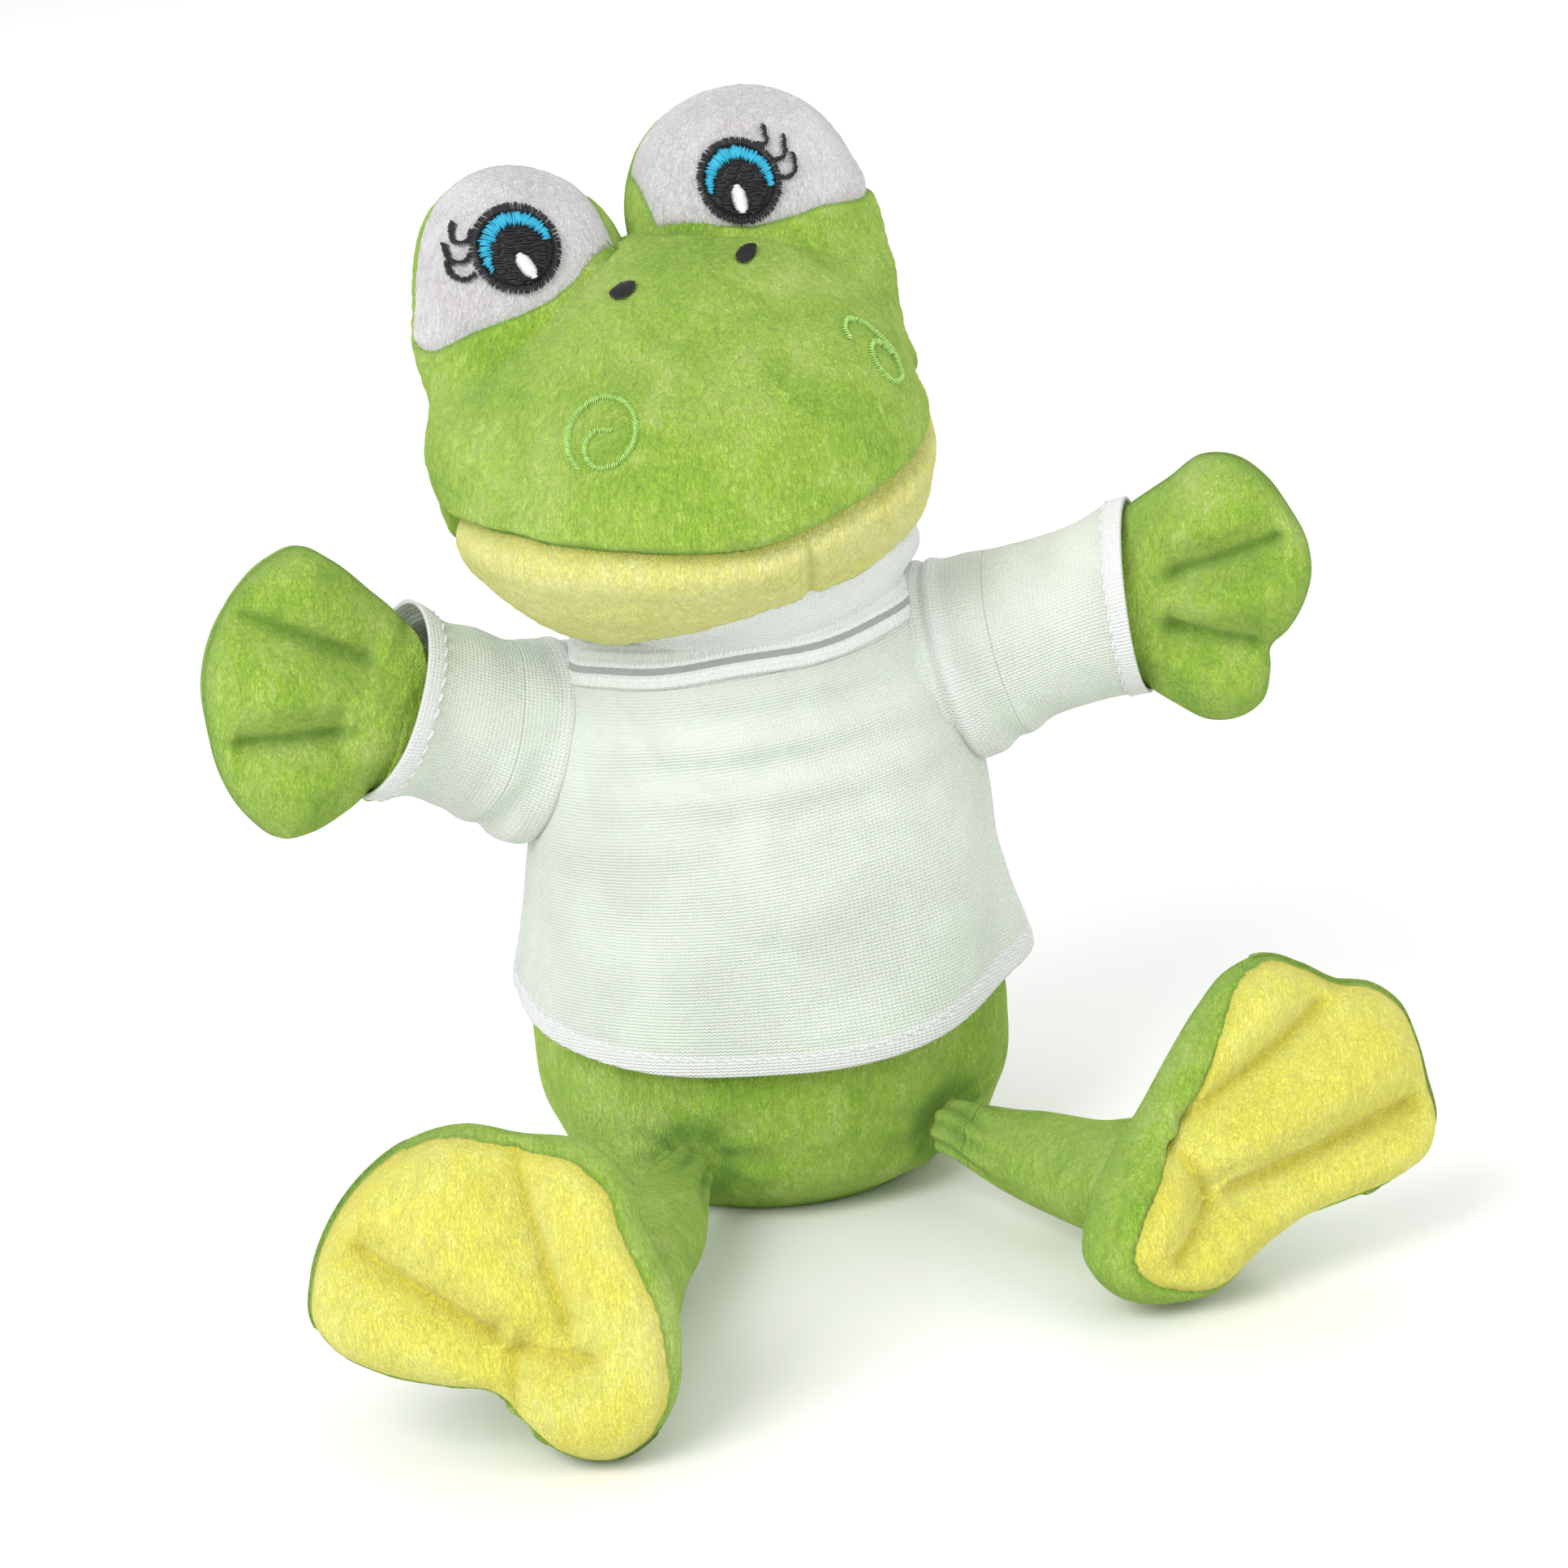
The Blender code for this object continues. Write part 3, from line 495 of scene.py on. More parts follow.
def head_shaped(p):
    """Moves cut head points to the finished surface, and gives painted shade along the seam grooves, from how near
    a seam each point is.
    """
    ahead = smooth(HEAD_SEAM_Y - p[:, 1], 0.0, 0.010)
    x, z = p[:, 0], p[:, 2]
    top = z > -0.002
    to_back = np.abs(p[:, 1] - HEAD_SEAM_Y)
    to_mouth = np.where(p[:, 1] < HEAD_SEAM_Y, np.abs(z - MOUTH_Z - MOUTH_SLOPE * p[:, 1]), 1.0)
    beside = np.maximum(NOTCH - np.abs(x), 0)
    brow = EYE_SEAM_Z + INNER_SLOPE * np.maximum(INNER_X - np.maximum(np.abs(x), NOTCH), 0)
    under = np.hypot(z - brow, beside)
    side = np.where(z > brow, np.abs(np.abs(x) - NOTCH), 1.0)
    to_eye = np.where(top & (p[:, 1] < HEAD_SEAM_Y + 0.001), np.minimum(under, side), 1.0)
    to_dart = np.where(z < MOUTH_Z + MOUTH_SLOPE * p[:, 1], np.abs(x - CHIN_DART_X), 1.0)
    q = p.copy()
    q[:, 2] += ahead * eye_seam_bend(x) * hump(z - EYE_SEAM_Z, 0.017) * smooth(z, 0.0, 0.012)
    q[:, 2] += ahead * mouth_bend(x) * hump(z - MOUTH_Z - MOUTH_SLOPE * p[:, 1], 0.017)
    ways = q / np.linalg.norm(q, axis=1, keepdims=True)
    reach = head_radius(ways)
    reach -= 0.0007 * hump(to_back, 0.0012)
    reach -= 0.0022 * hump(to_mouth, 0.0016) - 0.0007 * hump(to_mouth - 0.0045, 0.0030)
    reach -= 0.0009 * hump(to_eye, 0.0011)
    reach -= 0.0009 * hump(to_dart, 0.0011)
    reach += 0.00014 * lumps(q, 0.0014, 61) + 0.00008 * lumps(q, 0.0007, 62)
    q = ways * reach[:, None]
    # painted shade: darker where the fabric dips into the back, mouth, eye and dart seams
    seam = np.maximum.reduce(
        [
            0.7 * hump(to_back, 0.0009),
            0.95 * hump(to_mouth, 0.0010),
            0.75 * hump(to_eye, 0.0007),
            0.6 * hump(to_dart, 0.0007),
        ]
    )
    return over_neck(q), seam


def over_neck(q):
    """Lifts the underside of the head clear of the ball in which the neck moves."""
    neck = np.array(HEAD.inverted() @ NECK)
    up = -neck / np.linalg.norm(neck)
    rise = (q - neck) @ up
    beside = np.linalg.norm(q - neck - rise[:, None] * up, axis=1)
    roof = np.sqrt(np.maximum(NECK_ROOM**2 - beside**2, 0))
    low = (beside < NECK_ROOM) & (rise < roof) & (rise < 0.03)
    sharp = 0.0012
    soft = sharp * np.logaddexp(rise / sharp, roof / sharp)
    lift = np.where(low, np.maximum(roof, np.minimum(soft, roof + sharp)) - rise, 0)
    return q + lift[:, None] * up


def make_head(looks):
    seam = Vector((0, HEAD_SEAM_Y, 0))
    back, forward = Vector((0, 1, 0)), Vector((0, -1, 0))
    mouth = Vector((0, 0, MOUTH_Z))
    over_mouth = Vector((0, -MOUTH_SLOPE, 1)).normalized()
    brow = Vector((0, 0, EYE_SEAM_Z))
    up, down = Vector((0, 0, 1)), Vector((0, 0, -1))
    plans = {
        "head_back_panel": ([(seam, forward)], "green", ["head_back"], "green_plush"),
        "head_chin_panel": ([(seam, back), (mouth, over_mouth)], "chin", ["chin_panel"], "yellow_plush"),
        "head_front_panel": (
            [(seam, back), (mouth, -over_mouth), (brow, up)],
            "green",
            ["head_front", "head_stuffing"],
            "green_plush",
        ),
    }
    wedges = []
    for sign, side in ((-1, "left"), (1, "right")):
        inner = (Vector((sign * NOTCH, 0, 0)), Vector((-sign, 0, 0)))
        corner = Vector((sign * INNER_X, 0, EYE_SEAM_Z))
        below = Vector((-sign * INNER_SLOPE, 0, -1)).normalized()
        cuts = [(seam, back), (brow, down), inner, (corner, below)]
        wedges.append([(seam, back), (brow, down), inner, (corner, -below)])
        plans[f"head_eye_white_{side}"] = (cuts, "white", [f"eye_white_{side}"], "white_plush")
    for name, (cuts, look, nodes, slot) in plans.items():
        p, faces = head_panel(name, cuts, look, looks, slot, nodes, 0.8)
        if name == "head_front_panel":
            strip = [(seam, back), (brow, down)]
            strip += [(Vector((NOTCH, 0, 0)), Vector((1, 0, 0))), (Vector((-NOTCH, 0, 0)), Vector((-1, 0, 0)))]
            for extra in [strip] + wedges:
                more, more_faces = head_panel(name, extra, look, looks, slot, nodes, 0.8)
                faces += [[i + len(p) for i in face] for face in more_faces]
                p = np.vstack([p, more])
        # near is the painted shade along the seam grooves
        shaped, near = head_shaped(p)
        obj = piece(name, shaped, faces, looks[look], HEAD, {"seam": near}, thick=0.0012)
        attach(obj, "head")
        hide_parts(*nodes)


# ---------------------------------------------------------------- embroidery
def threads(name, runs, radius, base, rise, look, nodes=(), stations=6, sides=5):
    """Stitches on the face: each run is a line of (x, z) points, and arches over the fabric."""
    runs = np.asarray(runs, float)
    count, given = runs.shape[:2]
    t = np.linspace(0, 1, stations)
    at = t * (given - 1)
    i = np.minimum(at.astype(int), given - 2)
    path = runs[:, i] + (at - i)[None, :, None] * (runs[:, i + 1] - runs[:, i])
    lift = base + rise * np.sin(pi * t) ** 0.6
    lift[0] = lift[-1] = base - radius
    middle, normal = face_points(path[..., 0], path[..., 1], np.broadcast_to(lift, path.shape[:2]))
    along = np.gradient(middle, axis=1)
    along /= np.linalg.norm(along, axis=-1, keepdims=True)
    across = np.cross(along, normal)
    turn = 2 * pi * np.arange(sides) / sides
    wide = radius * (1 + 0.12 * rng.standard_normal((count, 1, 1, 1)))
    taper = np.sqrt(np.clip(1 - (2 * t - 1) ** 8, 0.15, 1))[None, :, None, None]
    ring = np.cos(turn)[:, None] * across[:, :, None] + np.sin(turn)[:, None] * normal[:, :, None]
    points = middle[:, :, None] + wide * taper * ring
    faces = []
    size = stations * sides
    one = grid_faces(stations, sides, True)
    caps = [list(range(sides)), list(range(size - sides, size))]
    for n in range(count):
        faces += [[v + n * size for v in face] for face in one + caps]
    obj = piece(name, points, faces, looks[look], HEAD)
    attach(obj, "head")
    if nodes:
        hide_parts(*nodes)
    return obj


def face_patch(name, centre, half, lift, look, tilt=0.0):
    """A thin oval of thread under the stitches."""
    rows, columns = 14, 48
    s = np.linspace(0.01, 1, rows)[:, None]
    t = 2 * pi * np.arange(columns)[None, :] / columns
    a, b = half[0] * s * np.cos(t), half[1] * s * np.sin(t)
    x = centre[0] + a * cos(tilt) - b * sin(tilt)
    z = centre[1] + a * sin(tilt) + b * cos(tilt)
    crown = lift * (1 - s**6) + 0 * t - 0.0004 * s**6
    points, _ = face_points(x, z, crown)
    faces = grid_faces(rows, columns, True) + [list(range(columns))]
    obj = piece(name, points, faces, looks[look], HEAD, thick=0.0004)
    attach(obj, "head")
    return obj


EYES = {"left": (-0.0232, 0.0327), "right": (0.0206, 0.0304)}
EYE_SIZE = {"left": (0.0082, 0.0084), "right": (0.0076, 0.0082)}
EYE_TURN = {"left": radians(-17), "right": radians(-18)}
BAND = {"left": (radians(-2), radians(202)), "right": (radians(-26), radians(184))}
GLINTS = {"left": ((-0.0229, 0.0291), radians(14)), "right": ((0.0193, 0.0273), radians(-8))}
LASHES = {
    "left": (
        ((-0.0292, 0.0384), (-0.0308, 0.0368), (-0.0326, 0.0374), (-0.0322, 0.0396), (-0.0313, 0.0408)),
        ((-0.0312, 0.0345), (-0.0326, 0.0335), (-0.0343, 0.0342), (-0.0346, 0.0360), (-0.0341, 0.0377)),
        ((-0.0316, 0.0309), (-0.0334, 0.0304), (-0.0348, 0.0312), (-0.0354, 0.0328), (-0.0350, 0.0344)),
    ),
    "right": (
        ((0.0262, 0.0358), (0.0274, 0.0352), (0.0283, 0.0358), (0.0283, 0.0370), (0.0288, 0.0383)),
        ((0.0276, 0.0322), (0.0294, 0.0318), (0.0306, 0.0326), (0.0309, 0.0340), (0.0316, 0.0355)),
        ((0.0276, 0.0288), (0.0296, 0.0282), (0.0310, 0.0288), (0.0316, 0.0302), (0.0319, 0.0318)),
    ),
}
NOSTRILS = {"left": ((-0.0087, 0.0190), radians(4)), "right": ((0.0156, 0.0176), radians(8))}
SWIRLS = {
    "left": (
        (-0.0300, -0.0078), (-0.0302, -0.0045), (-0.0285, -0.0010), (-0.0255, 0.0016), (-0.0218, 0.0027),
        (-0.0188, 0.0016), (-0.0176, -0.0014), (-0.0186, -0.0050), (-0.0212, -0.0078), (-0.0245, -0.0092),
        (-0.0272, -0.0086), (-0.0280, -0.0062), (-0.0268, -0.0038), (-0.0244, -0.0026), (-0.0222, -0.0034),
    ),
    "right": (
        (0.0256, -0.0030), (0.0258, -0.0008), (0.0272, 0.0003), (0.0296, -0.0008), (0.0315, -0.0036),
        (0.0330, -0.0070), (0.0333, -0.0104), (0.0322, -0.0130), (0.0304, -0.0128), (0.0290, -0.0106),
        (0.0283, -0.0080), (0.0288, -0.0058), (0.0302, -0.0050), (0.0318, -0.0062), (0.0327, -0.0082),
    ),
}


def resampled(path, count):
    path = np.asarray(path, float)
    steps = np.concatenate([[0], np.cumsum(np.linalg.norm(np.diff(path, axis=0), axis=1))])
    t = np.linspace(0, steps[-1], count)
    return np.stack([spline(steps, path[:, k], t) for k in range(2)], -1)


def satin(path, width, spacing, ragged=0.12, slant=0.0):
    """Short stitches laid across a line, close together."""
    length = np.linalg.norm(np.diff(path, axis=0), axis=1).sum()
    middle = resampled(path, max(3, int(length / spacing)))
    along = np.gradient(middle, axis=0)
    along /= np.linalg.norm(along, axis=1, keepdims=True)
    across = np.stack([-along[:, 1], along[:, 0]], -1) + slant * along
    ends = []
    for sign in (-1, 1):
        reach = width / 2 * (1 + ragged * rng.standard_normal((len(middle), 1)))
        ends.append(middle + sign * reach * across)
    return np.stack(ends, 1)


def oval_points(centre, half, turns, tilt=0.0, share=1.0):
    a, b = half[0] * share * np.cos(turns), half[1] * share * np.sin(turns)
    x = centre[0] + a * cos(tilt) - b * sin(tilt)
    z = centre[1] + a * sin(tilt) + b * cos(tilt)
    return np.stack([x, z], -1)


def radial(centre, half, turns, inner, outer, ragged, lean=0.02):
    """Stitches from an inner to an outer share of an oval, with uneven ends."""
    ends = []
    for share, sign in ((inner, -1), (outer, 1)):
        size = share + sign * ragged * np.abs(rng.standard_normal(len(turns)))
        bent = turns + lean * rng.standard_normal(len(turns))
        ends.append(oval_points(centre, half, bent, 0.0, size))
    return np.stack(ends, 1)


def make_eye(side):
    centre, half = EYES[side], EYE_SIZE[side]
    face_patch(f"eye_backing_{side}", centre, (half[0] * 0.97, half[1] * 0.97), 0.0007, "black")
    turns = np.linspace(0, 2 * pi, 190, endpoint=False)
    ring = radial(centre, half, turns, 0.80, 0.99, 0.014)
    threads(
        f"eye_ring_{side}", ring, 0.00017, 0.0009, 0.0004, "black", [f"eye_outline_{side}"]
    )
    rows = []
    for z in np.arange(-0.94, 0.95, 0.052):
        reach = 0.86 * np.sqrt(max(0.0, 1 - z * z))
        x = -reach + 0.12 * rng.random()
        while x < reach:
            end = min(x + 0.30 + 0.22 * rng.random(), reach)
            drift = 0.012 * rng.standard_normal()
            rows.append([(x, z + drift), (end, z + drift + 0.01)])
            x = end + 0.015
    rows = np.array(rows) * 0.82
    tilt = EYE_TURN[side]
    turned = np.stack(
        [rows[..., 0] * cos(tilt) - rows[..., 1] * sin(tilt), rows[..., 0] * sin(tilt) + rows[..., 1] * cos(tilt)],
        -1,
    )
    rows = np.array(centre) + turned * np.array(half)
    threads(
        f"eye_field_{side}", rows, 0.00021, 0.0007, 0.00022, "black", [f"eye_pupil_{side}"]
    )
    start, end = BAND[side]
    turns = np.linspace(start, end, 92)
    middle = (turns - (start + end) / 2) / ((end - start) / 2)
    thick = 0.118 * (1 - 0.60 * np.abs(middle) ** 3)
    inner = 0.635 - thick + 0.09 * np.abs(middle) ** 2
    outer = 0.635 + thick + 0.09 * np.abs(middle) ** 2
    band = radial(centre, half, turns, inner, outer, 0.035)
    threads(
        f"eye_band_{side}", band, 0.00020, 0.0011, 0.0004, "blue", [f"eye_crescent_{side}"]
    )
    (gx, gz), tilt = GLINTS[side]
    line = oval_points((gx, gz), (0.00001, 0.0024), np.array([pi / 2, -pi / 2]), tilt)
    stitches = satin(line, 1.0, 0.00024, 0.0, 0.15)
    share = np.linspace(-1, 1, len(stitches))
    wide = 0.0027 * np.sqrt(np.maximum(1 - np.abs(share) ** 3, 0.25)) * (1 + 0.03 * rng.standard_normal(len(share)))
    middle = stitches.mean(1, keepdims=True)
    stitches = middle + (stitches - middle) * wide[:, None, None]
    threads(
        f"eye_shine_{side}", stitches, 0.00020, 0.0013, 0.0006, "bright", [f"eye_glint_{side}"]
    )
    for n, path in enumerate(LASHES[side]):
        runs = satin(np.array(path), 0.0011, 0.00030, 0.16, 0.5)
        threads(
            f"eye_lash_stitches_{side}_{n + 1}", runs, 0.00021, 0.0005, 0.0005, "black",
            [f"eye_lash_{side}_{n + 1}"],
        )


def make_marks(side):
    (x, z), tilt = NOSTRILS[side]
    line = oval_points((x, z), (0.0024, 0.00001), np.array([pi, 0]), tilt)
    stitches = satin(line, 1.0, 0.00028, 0.0, 0.35)
    share = np.linspace(-1, 1, len(stitches))
    wide = 0.0029 * np.sqrt(np.maximum(1 - share**2, 0.10)) * (1 + 0.05 * rng.standard_normal(len(share)))
    middle = stitches.mean(1, keepdims=True)
    stitches = middle + (stitches - middle) * wide[:, None, None]
    threads(
        f"nostril_stitches_{side}", stitches, 0.00020, 0.0004, 0.0006, "black", [f"nostril_{side}"]
    )
    path = resampled(SWIRLS[side], 60)
    runs = np.concatenate([satin(path, 0.0011, 0.00042, 0.12, 0.6)])
    threads(
        f"cheek_spiral_{side}", runs, 0.00016, 0.0002, 0.0004, "lime", [f"cheek_swirl_{side}"]
    )


# ---------------------------------------------------------------- body
TORSO = (
    (0.0, 0.026, 0.022),
    (0.005, 0.036, 0.029),
    (0.016, 0.044, 0.034),
    (0.032, 0.0465, 0.036),
    (0.056, 0.043, 0.033),
    (0.076, 0.040, 0.030),
    (0.090, 0.038, 0.028),
    (0.101, 0.034, 0.026),
    (0.107, 0.031, 0.0245),
)
SHIRT = (
    (0.030, 0.0518, 0.0408),
    (0.036, 0.0512, 0.0403),
    (0.056, 0.0475, 0.0375),
    (0.076, 0.0445, 0.0345),
    (0.090, 0.0420, 0.0320),
    (0.101, 0.0375, 0.0300),
    (0.109, 0.0345, 0.0282),
    (0.1125, 0.0330, 0.0272),
)
OPENING_Z, OPENING_W, OPENING_H = 0.0195, 0.036, 0.0155
HIPS = {"left": Vector((-0.020, -0.0400, 0.0140)), "right": Vector((0.037, -0.0285, 0.0150))}


def leaning(p):
    """The shoulder line rises to the right, more the higher a point is."""
    p = np.array(p, float)
    p[..., 2] += 0.118 * p[..., 0] * smooth(p[..., 2], 0.036, 0.090)
    return p


def body_size(table, z):
    zs = [row[0] for row in table]
    return [spline(zs, [row[k] for row in table], z) for k in (1, 2)]


def gathered(p, out):
    """Draws the belly in round each leg, in small pleats, with painted shade round each leg's root and in the
    pleats' hollows.
    """
    p = p.copy()
    dark = np.zeros(p.shape[:-1])
    for side in SIDES:
        hip = np.array(HIPS[side])
        way = np.array([hip[0] * 0.6, -0.035, 0.0])
        way /= np.linalg.norm(way)
        rel = p - hip
        flat = rel - (rel @ way)[..., None] * way
        r = np.linalg.norm(flat, axis=-1)
        turn = np.arctan2(flat[..., 2], flat[..., 0])
        pleat = np.cos(9 * turn + 2 * lumps(p, 0.01, 5)) * hump(r - 0.0105, 0.0055)
        p -= out * (0.0022 * hump(r, 0.0095) + 0.0005 * pleat)[..., None]
        # painted shade: a dark ring round the leg's root, and in the hollows of the pleats
        dark = np.maximum(dark, 0.85 * hump(r - 0.0070, 0.0026) + 0.25 * np.maximum(-pleat, 0))
    p[..., 2] = np.maximum(p[..., 2], 0.0)
    return p, np.clip(dark, 0, 1)


def tube_points(table, turn, z):
    w, d = body_size(table, z)
    p = np.stack([w * np.cos(turn), d * np.sin(turn), z + 0 * turn], -1)
    out = np.stack([np.cos(turn) / w, np.sin(turn) / d, 0 * turn + 0 * z], -1)
    return p, out / np.linalg.norm(out, axis=-1, keepdims=True)


def make_body(looks):
    rows, columns = 110, 150
    z = np.linspace(0, 1, rows)[:, None] ** 1.25 * 0.107
    turn = pi + pi * np.linspace(0, 1, columns)[None, :]
    p, out = tube_points(TORSO, turn, z)
    p = p + out * (0.0005 * lumps(p, 0.016, 3))[..., None]
    edge = np.minimum(turn - pi, 2 * pi - turn) * 0.04
    p -= out * (0.0008 * hump(edge, 0.0011) * smooth(z, 0, 0.004))[..., None]
    p[..., 2] += 0 * turn
    p, dark = gathered(p, out)
    # painted shade in the grooves of the side seams, added to that round the legs
    dark = np.maximum(dark, 0.7 * hump(edge, 0.0009))
    p[0, :, 2] = 0
    belly = piece(
        "body_front_panel", leaning(p), grid_faces(rows, columns), looks["green"],
        marks={"seam": dark}, thick=0.0012,
    )
    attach(belly, "torso")
    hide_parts("torso_front")
    make_body_back(looks)
    make_seat(looks)


def make_body_back(looks):
    """The back panel, with the hand opening left out of it."""
    top, side_steps, end_steps = 0.107, 60, 80
    tb = np.linspace(0, 1, end_steps, endpoint=False)
    ts = np.linspace(0, 1, side_steps, endpoint=False)
    outline = np.concatenate(
        [
            np.stack([pi * tb, 0 * tb], -1),
            np.stack([pi + 0 * ts, top * ts], -1),
            np.stack([pi * (1 - tb), top + 0 * tb], -1),
            np.stack([0 * ts, top * (1 - ts)], -1),
        ]
    )
    middle = np.array([pi / 2, OPENING_Z])
    scale = np.array([0.044, 1.0])
    angle = np.unwrap(np.arctan2(*((outline - middle) * scale).T[::-1]))
    spread = np.linspace(angle[0], angle[0] + np.sign(angle[-1] - angle[0]) * 2 * pi, len(angle), endpoint=False)
    angle = 0.35 * angle + 0.65 * spread
    w, _ = body_size(TORSO, OPENING_Z + OPENING_H * np.sin(angle))
    hole_turn = np.arccos(np.clip(-OPENING_W * -np.cos(angle + pi) / w, -0.98, 0.98))
    hole = np.stack([hole_turn, OPENING_Z + OPENING_H * np.sin(angle)], -1)
    share = (np.linspace(0, 1, 70) ** 1.15)[:, None, None]
    both = hole + share * (outline - hole)
    turn, z = both[..., 0], both[..., 1]
    p, out = tube_points(TORSO, turn, z)
    p = p + out * (0.0005 * lumps(p, 0.016, 4))[..., None]
    edge = np.minimum(turn, pi - turn) * 0.04
    near_hole = share[..., 0] * 0.02
    p -= out * (0.0008 * hump(edge, 0.0011) * smooth(z, 0, 0.004))[..., None]
    gather = 0.0004 * np.cos(60 * np.linspace(0, 2 * pi, len(outline), endpoint=False))[None, :]
    p += out * (gather * hump(near_hole - 0.002, 0.003))[..., None]
    # painted shade in the side seams' grooves and round the hand opening
    dark = np.maximum(0.7 * hump(edge, 0.0009), 0.6 * hump(near_hole, 0.0012))
    obj = piece(
        "body_back_panel", leaning(p), grid_faces(len(share), len(outline), True), looks["green"],
        marks={"seam": dark}, thick=0.0012,
    )
    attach(obj, "torso")
    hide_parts("torso_back")
    make_binding(looks)


def make_binding(looks):
    """The rolled edge of the hand opening, whipped with thread."""
    count, sides = 260, 12
    t = 2 * pi * np.arange(count) / count
    inset = 0.0016
    x, z = (OPENING_W - inset) * np.cos(t), OPENING_Z + (OPENING_H - inset) * np.sin(t)
    w, d = body_size(TORSO, z)
    y = (d - 0.0008) * np.sqrt(1 - (x / w) ** 2)
    middle = np.stack([x, y, z], -1)
    along = np.roll(middle, -1, 0) - np.roll(middle, 1, 0)
    along /= np.linalg.norm(along, axis=1, keepdims=True)
    out = np.stack([x / w**2, y / d**2, 0 * x], -1)
    out /= np.linalg.norm(out, axis=1, keepdims=True)
    across = np.cross(along, out)
    s = 2 * pi * np.arange(sides) / sides
    radius = 0.0017 + 0.00012 * np.cos(52 * t)[:, None, None]
    p = middle[:, None] + radius * (np.cos(s)[:, None] * out[:, None] + np.sin(s)[:, None] * across[:, None])
    faces = grid_faces(count + 1, sides, True)
    faces = [[v % (count * sides) for v in face] for face in faces]
    # the whole rolled edge is darkened evenly towards the plush's deep colour
    obj = piece("opening_edge", p, faces, looks["green"], marks={"seam": 0.25 + 0 * p[..., 0]})
    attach(obj, "torso")
    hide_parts("opening_binding")


def make_seat(looks):
    rows, columns = 26, 72
    s = np.linspace(0.02, 1, rows)[:, None]
    t = 2 * pi * np.arange(columns)[None, :] / columns
    w, d = TORSO[0][1], TORSO[0][2]
    p = np.stack([w * s * np.cos(t), d * s * np.sin(t), 0 * s * t + 0.0014 * (1 - smooth(s, 0.0, 0.05))], -1)
    p[..., 2] = 0
    faces = grid_faces(rows, columns, True) + [list(range(columns))]
    # painted shade in the seam round the seat's rim
    obj = piece(
        "seat_panel", p, faces, looks["green"],
        marks={"seam": 0.6 * hump(1 - s + 0 * t, 0.03)}, thick=0.0012,
    )
    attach(obj, "torso")
    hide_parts("torso_base")


# ---------------------------------------------------------------- shirt
def hem_height(turn):
    """The hem hangs lowest in front, and lifts at the sides and the back."""
    front = -np.sin(turn)
    side = np.abs(np.cos(turn))
    return np.where(front > 0, 0.0345 + 0.0085 * side**3, 0.0400 + 0.0030 * side**3)


def shirt_folds(turn, v, z, p):
    """Soft drapes: slack below the arms and across the chest, and a wavy hem."""
    slack = 0.0010 * lumps(p * np.array([1.0, 1.0, 0.55]), 0.020, 6)
    slack += 0.0007 * lumps(p * np.array([0.7, 0.7, 1.6]), 0.013, 7)
    chest = hump(z - 0.097, 0.013) * hump(turn - 1.5 * pi - 0.1, 0.9)
    chest = 0.0011 * chest * np.sin((z - 0.085) * 620 + 1.6 * np.cos(turn))
    wave = 0.0012 * np.sin(5 * turn + 0.6) * (1 - smooth(v, 0.0, 0.35))
    flare = 0.0026 * hump(np.angle(np.exp(1j * (turn - radians(352)))), 0.22) * (1 - smooth(v, 0.0, 0.30))
    return slack * (1 - smooth(v, 0.8, 1.0)) + chest + wave + flare


def shirt_half(front, rows=170, columns=210):
    v = np.linspace(0, 1, rows)[:, None]
    turn = (pi if front else 0) + pi * np.linspace(0, 1, columns)[None, :]
    low, top = hem_height(turn), 0.1125
    z = low + v * (top - low)
    p, out = tube_points(SHIRT, turn, z)
    # both halves are measured on one whole tube, so that their edges meet
    drape = shirt_folds(turn, v, z, p)
    up = v * (top - low)
    band = 1 - smooth(up, 0.0036, 0.0044)
    beside = np.minimum(np.abs(np.sin(turn)), 1) * 0.045
    side_seam = hump(beside, 0.0020) * (turn > -1)
    p = p + out * (drape + 0.00035 * band + 0.0004 * hump(beside - 0.0022, 0.0012) - 0.0007 * hump(beside, 0.0007))[..., None]
    p -= out * (0.00025 * hump(up - 0.0036, 0.0005))[..., None]
    hem = np.maximum(0.9 * band, 0.75 * hump(beside, 0.0034))
    hem = np.maximum(hem, 0.6 * smooth(z, 0.1085, 0.1115))
    round_ = np.cumsum(np.linalg.norm(np.diff(p, axis=1, prepend=p[:, :1]), axis=-1), axis=1).mean(0)
    u = np.broadcast_to(round_[None, :], z.shape)
    return p, out, hem, np.stack([u, z], -1)


def make_shirt(looks):
    for name, front in (("front", True), ("back", False)):
        p, out, hem, cloth = shirt_half(front)
        rows, columns = p.shape[:2]
        obj = piece(
            f"shirt_{name}_panel", leaning(p), grid_faces(rows, columns), looks["shirt"],
            marks={"hem": hem}, cloth=cloth, thick=0.0009,
        )
        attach(obj, "torso")
        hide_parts(f"shirt_{name}")
        hem_stitches(name, p, out, cloth, looks)
    make_collar(looks)


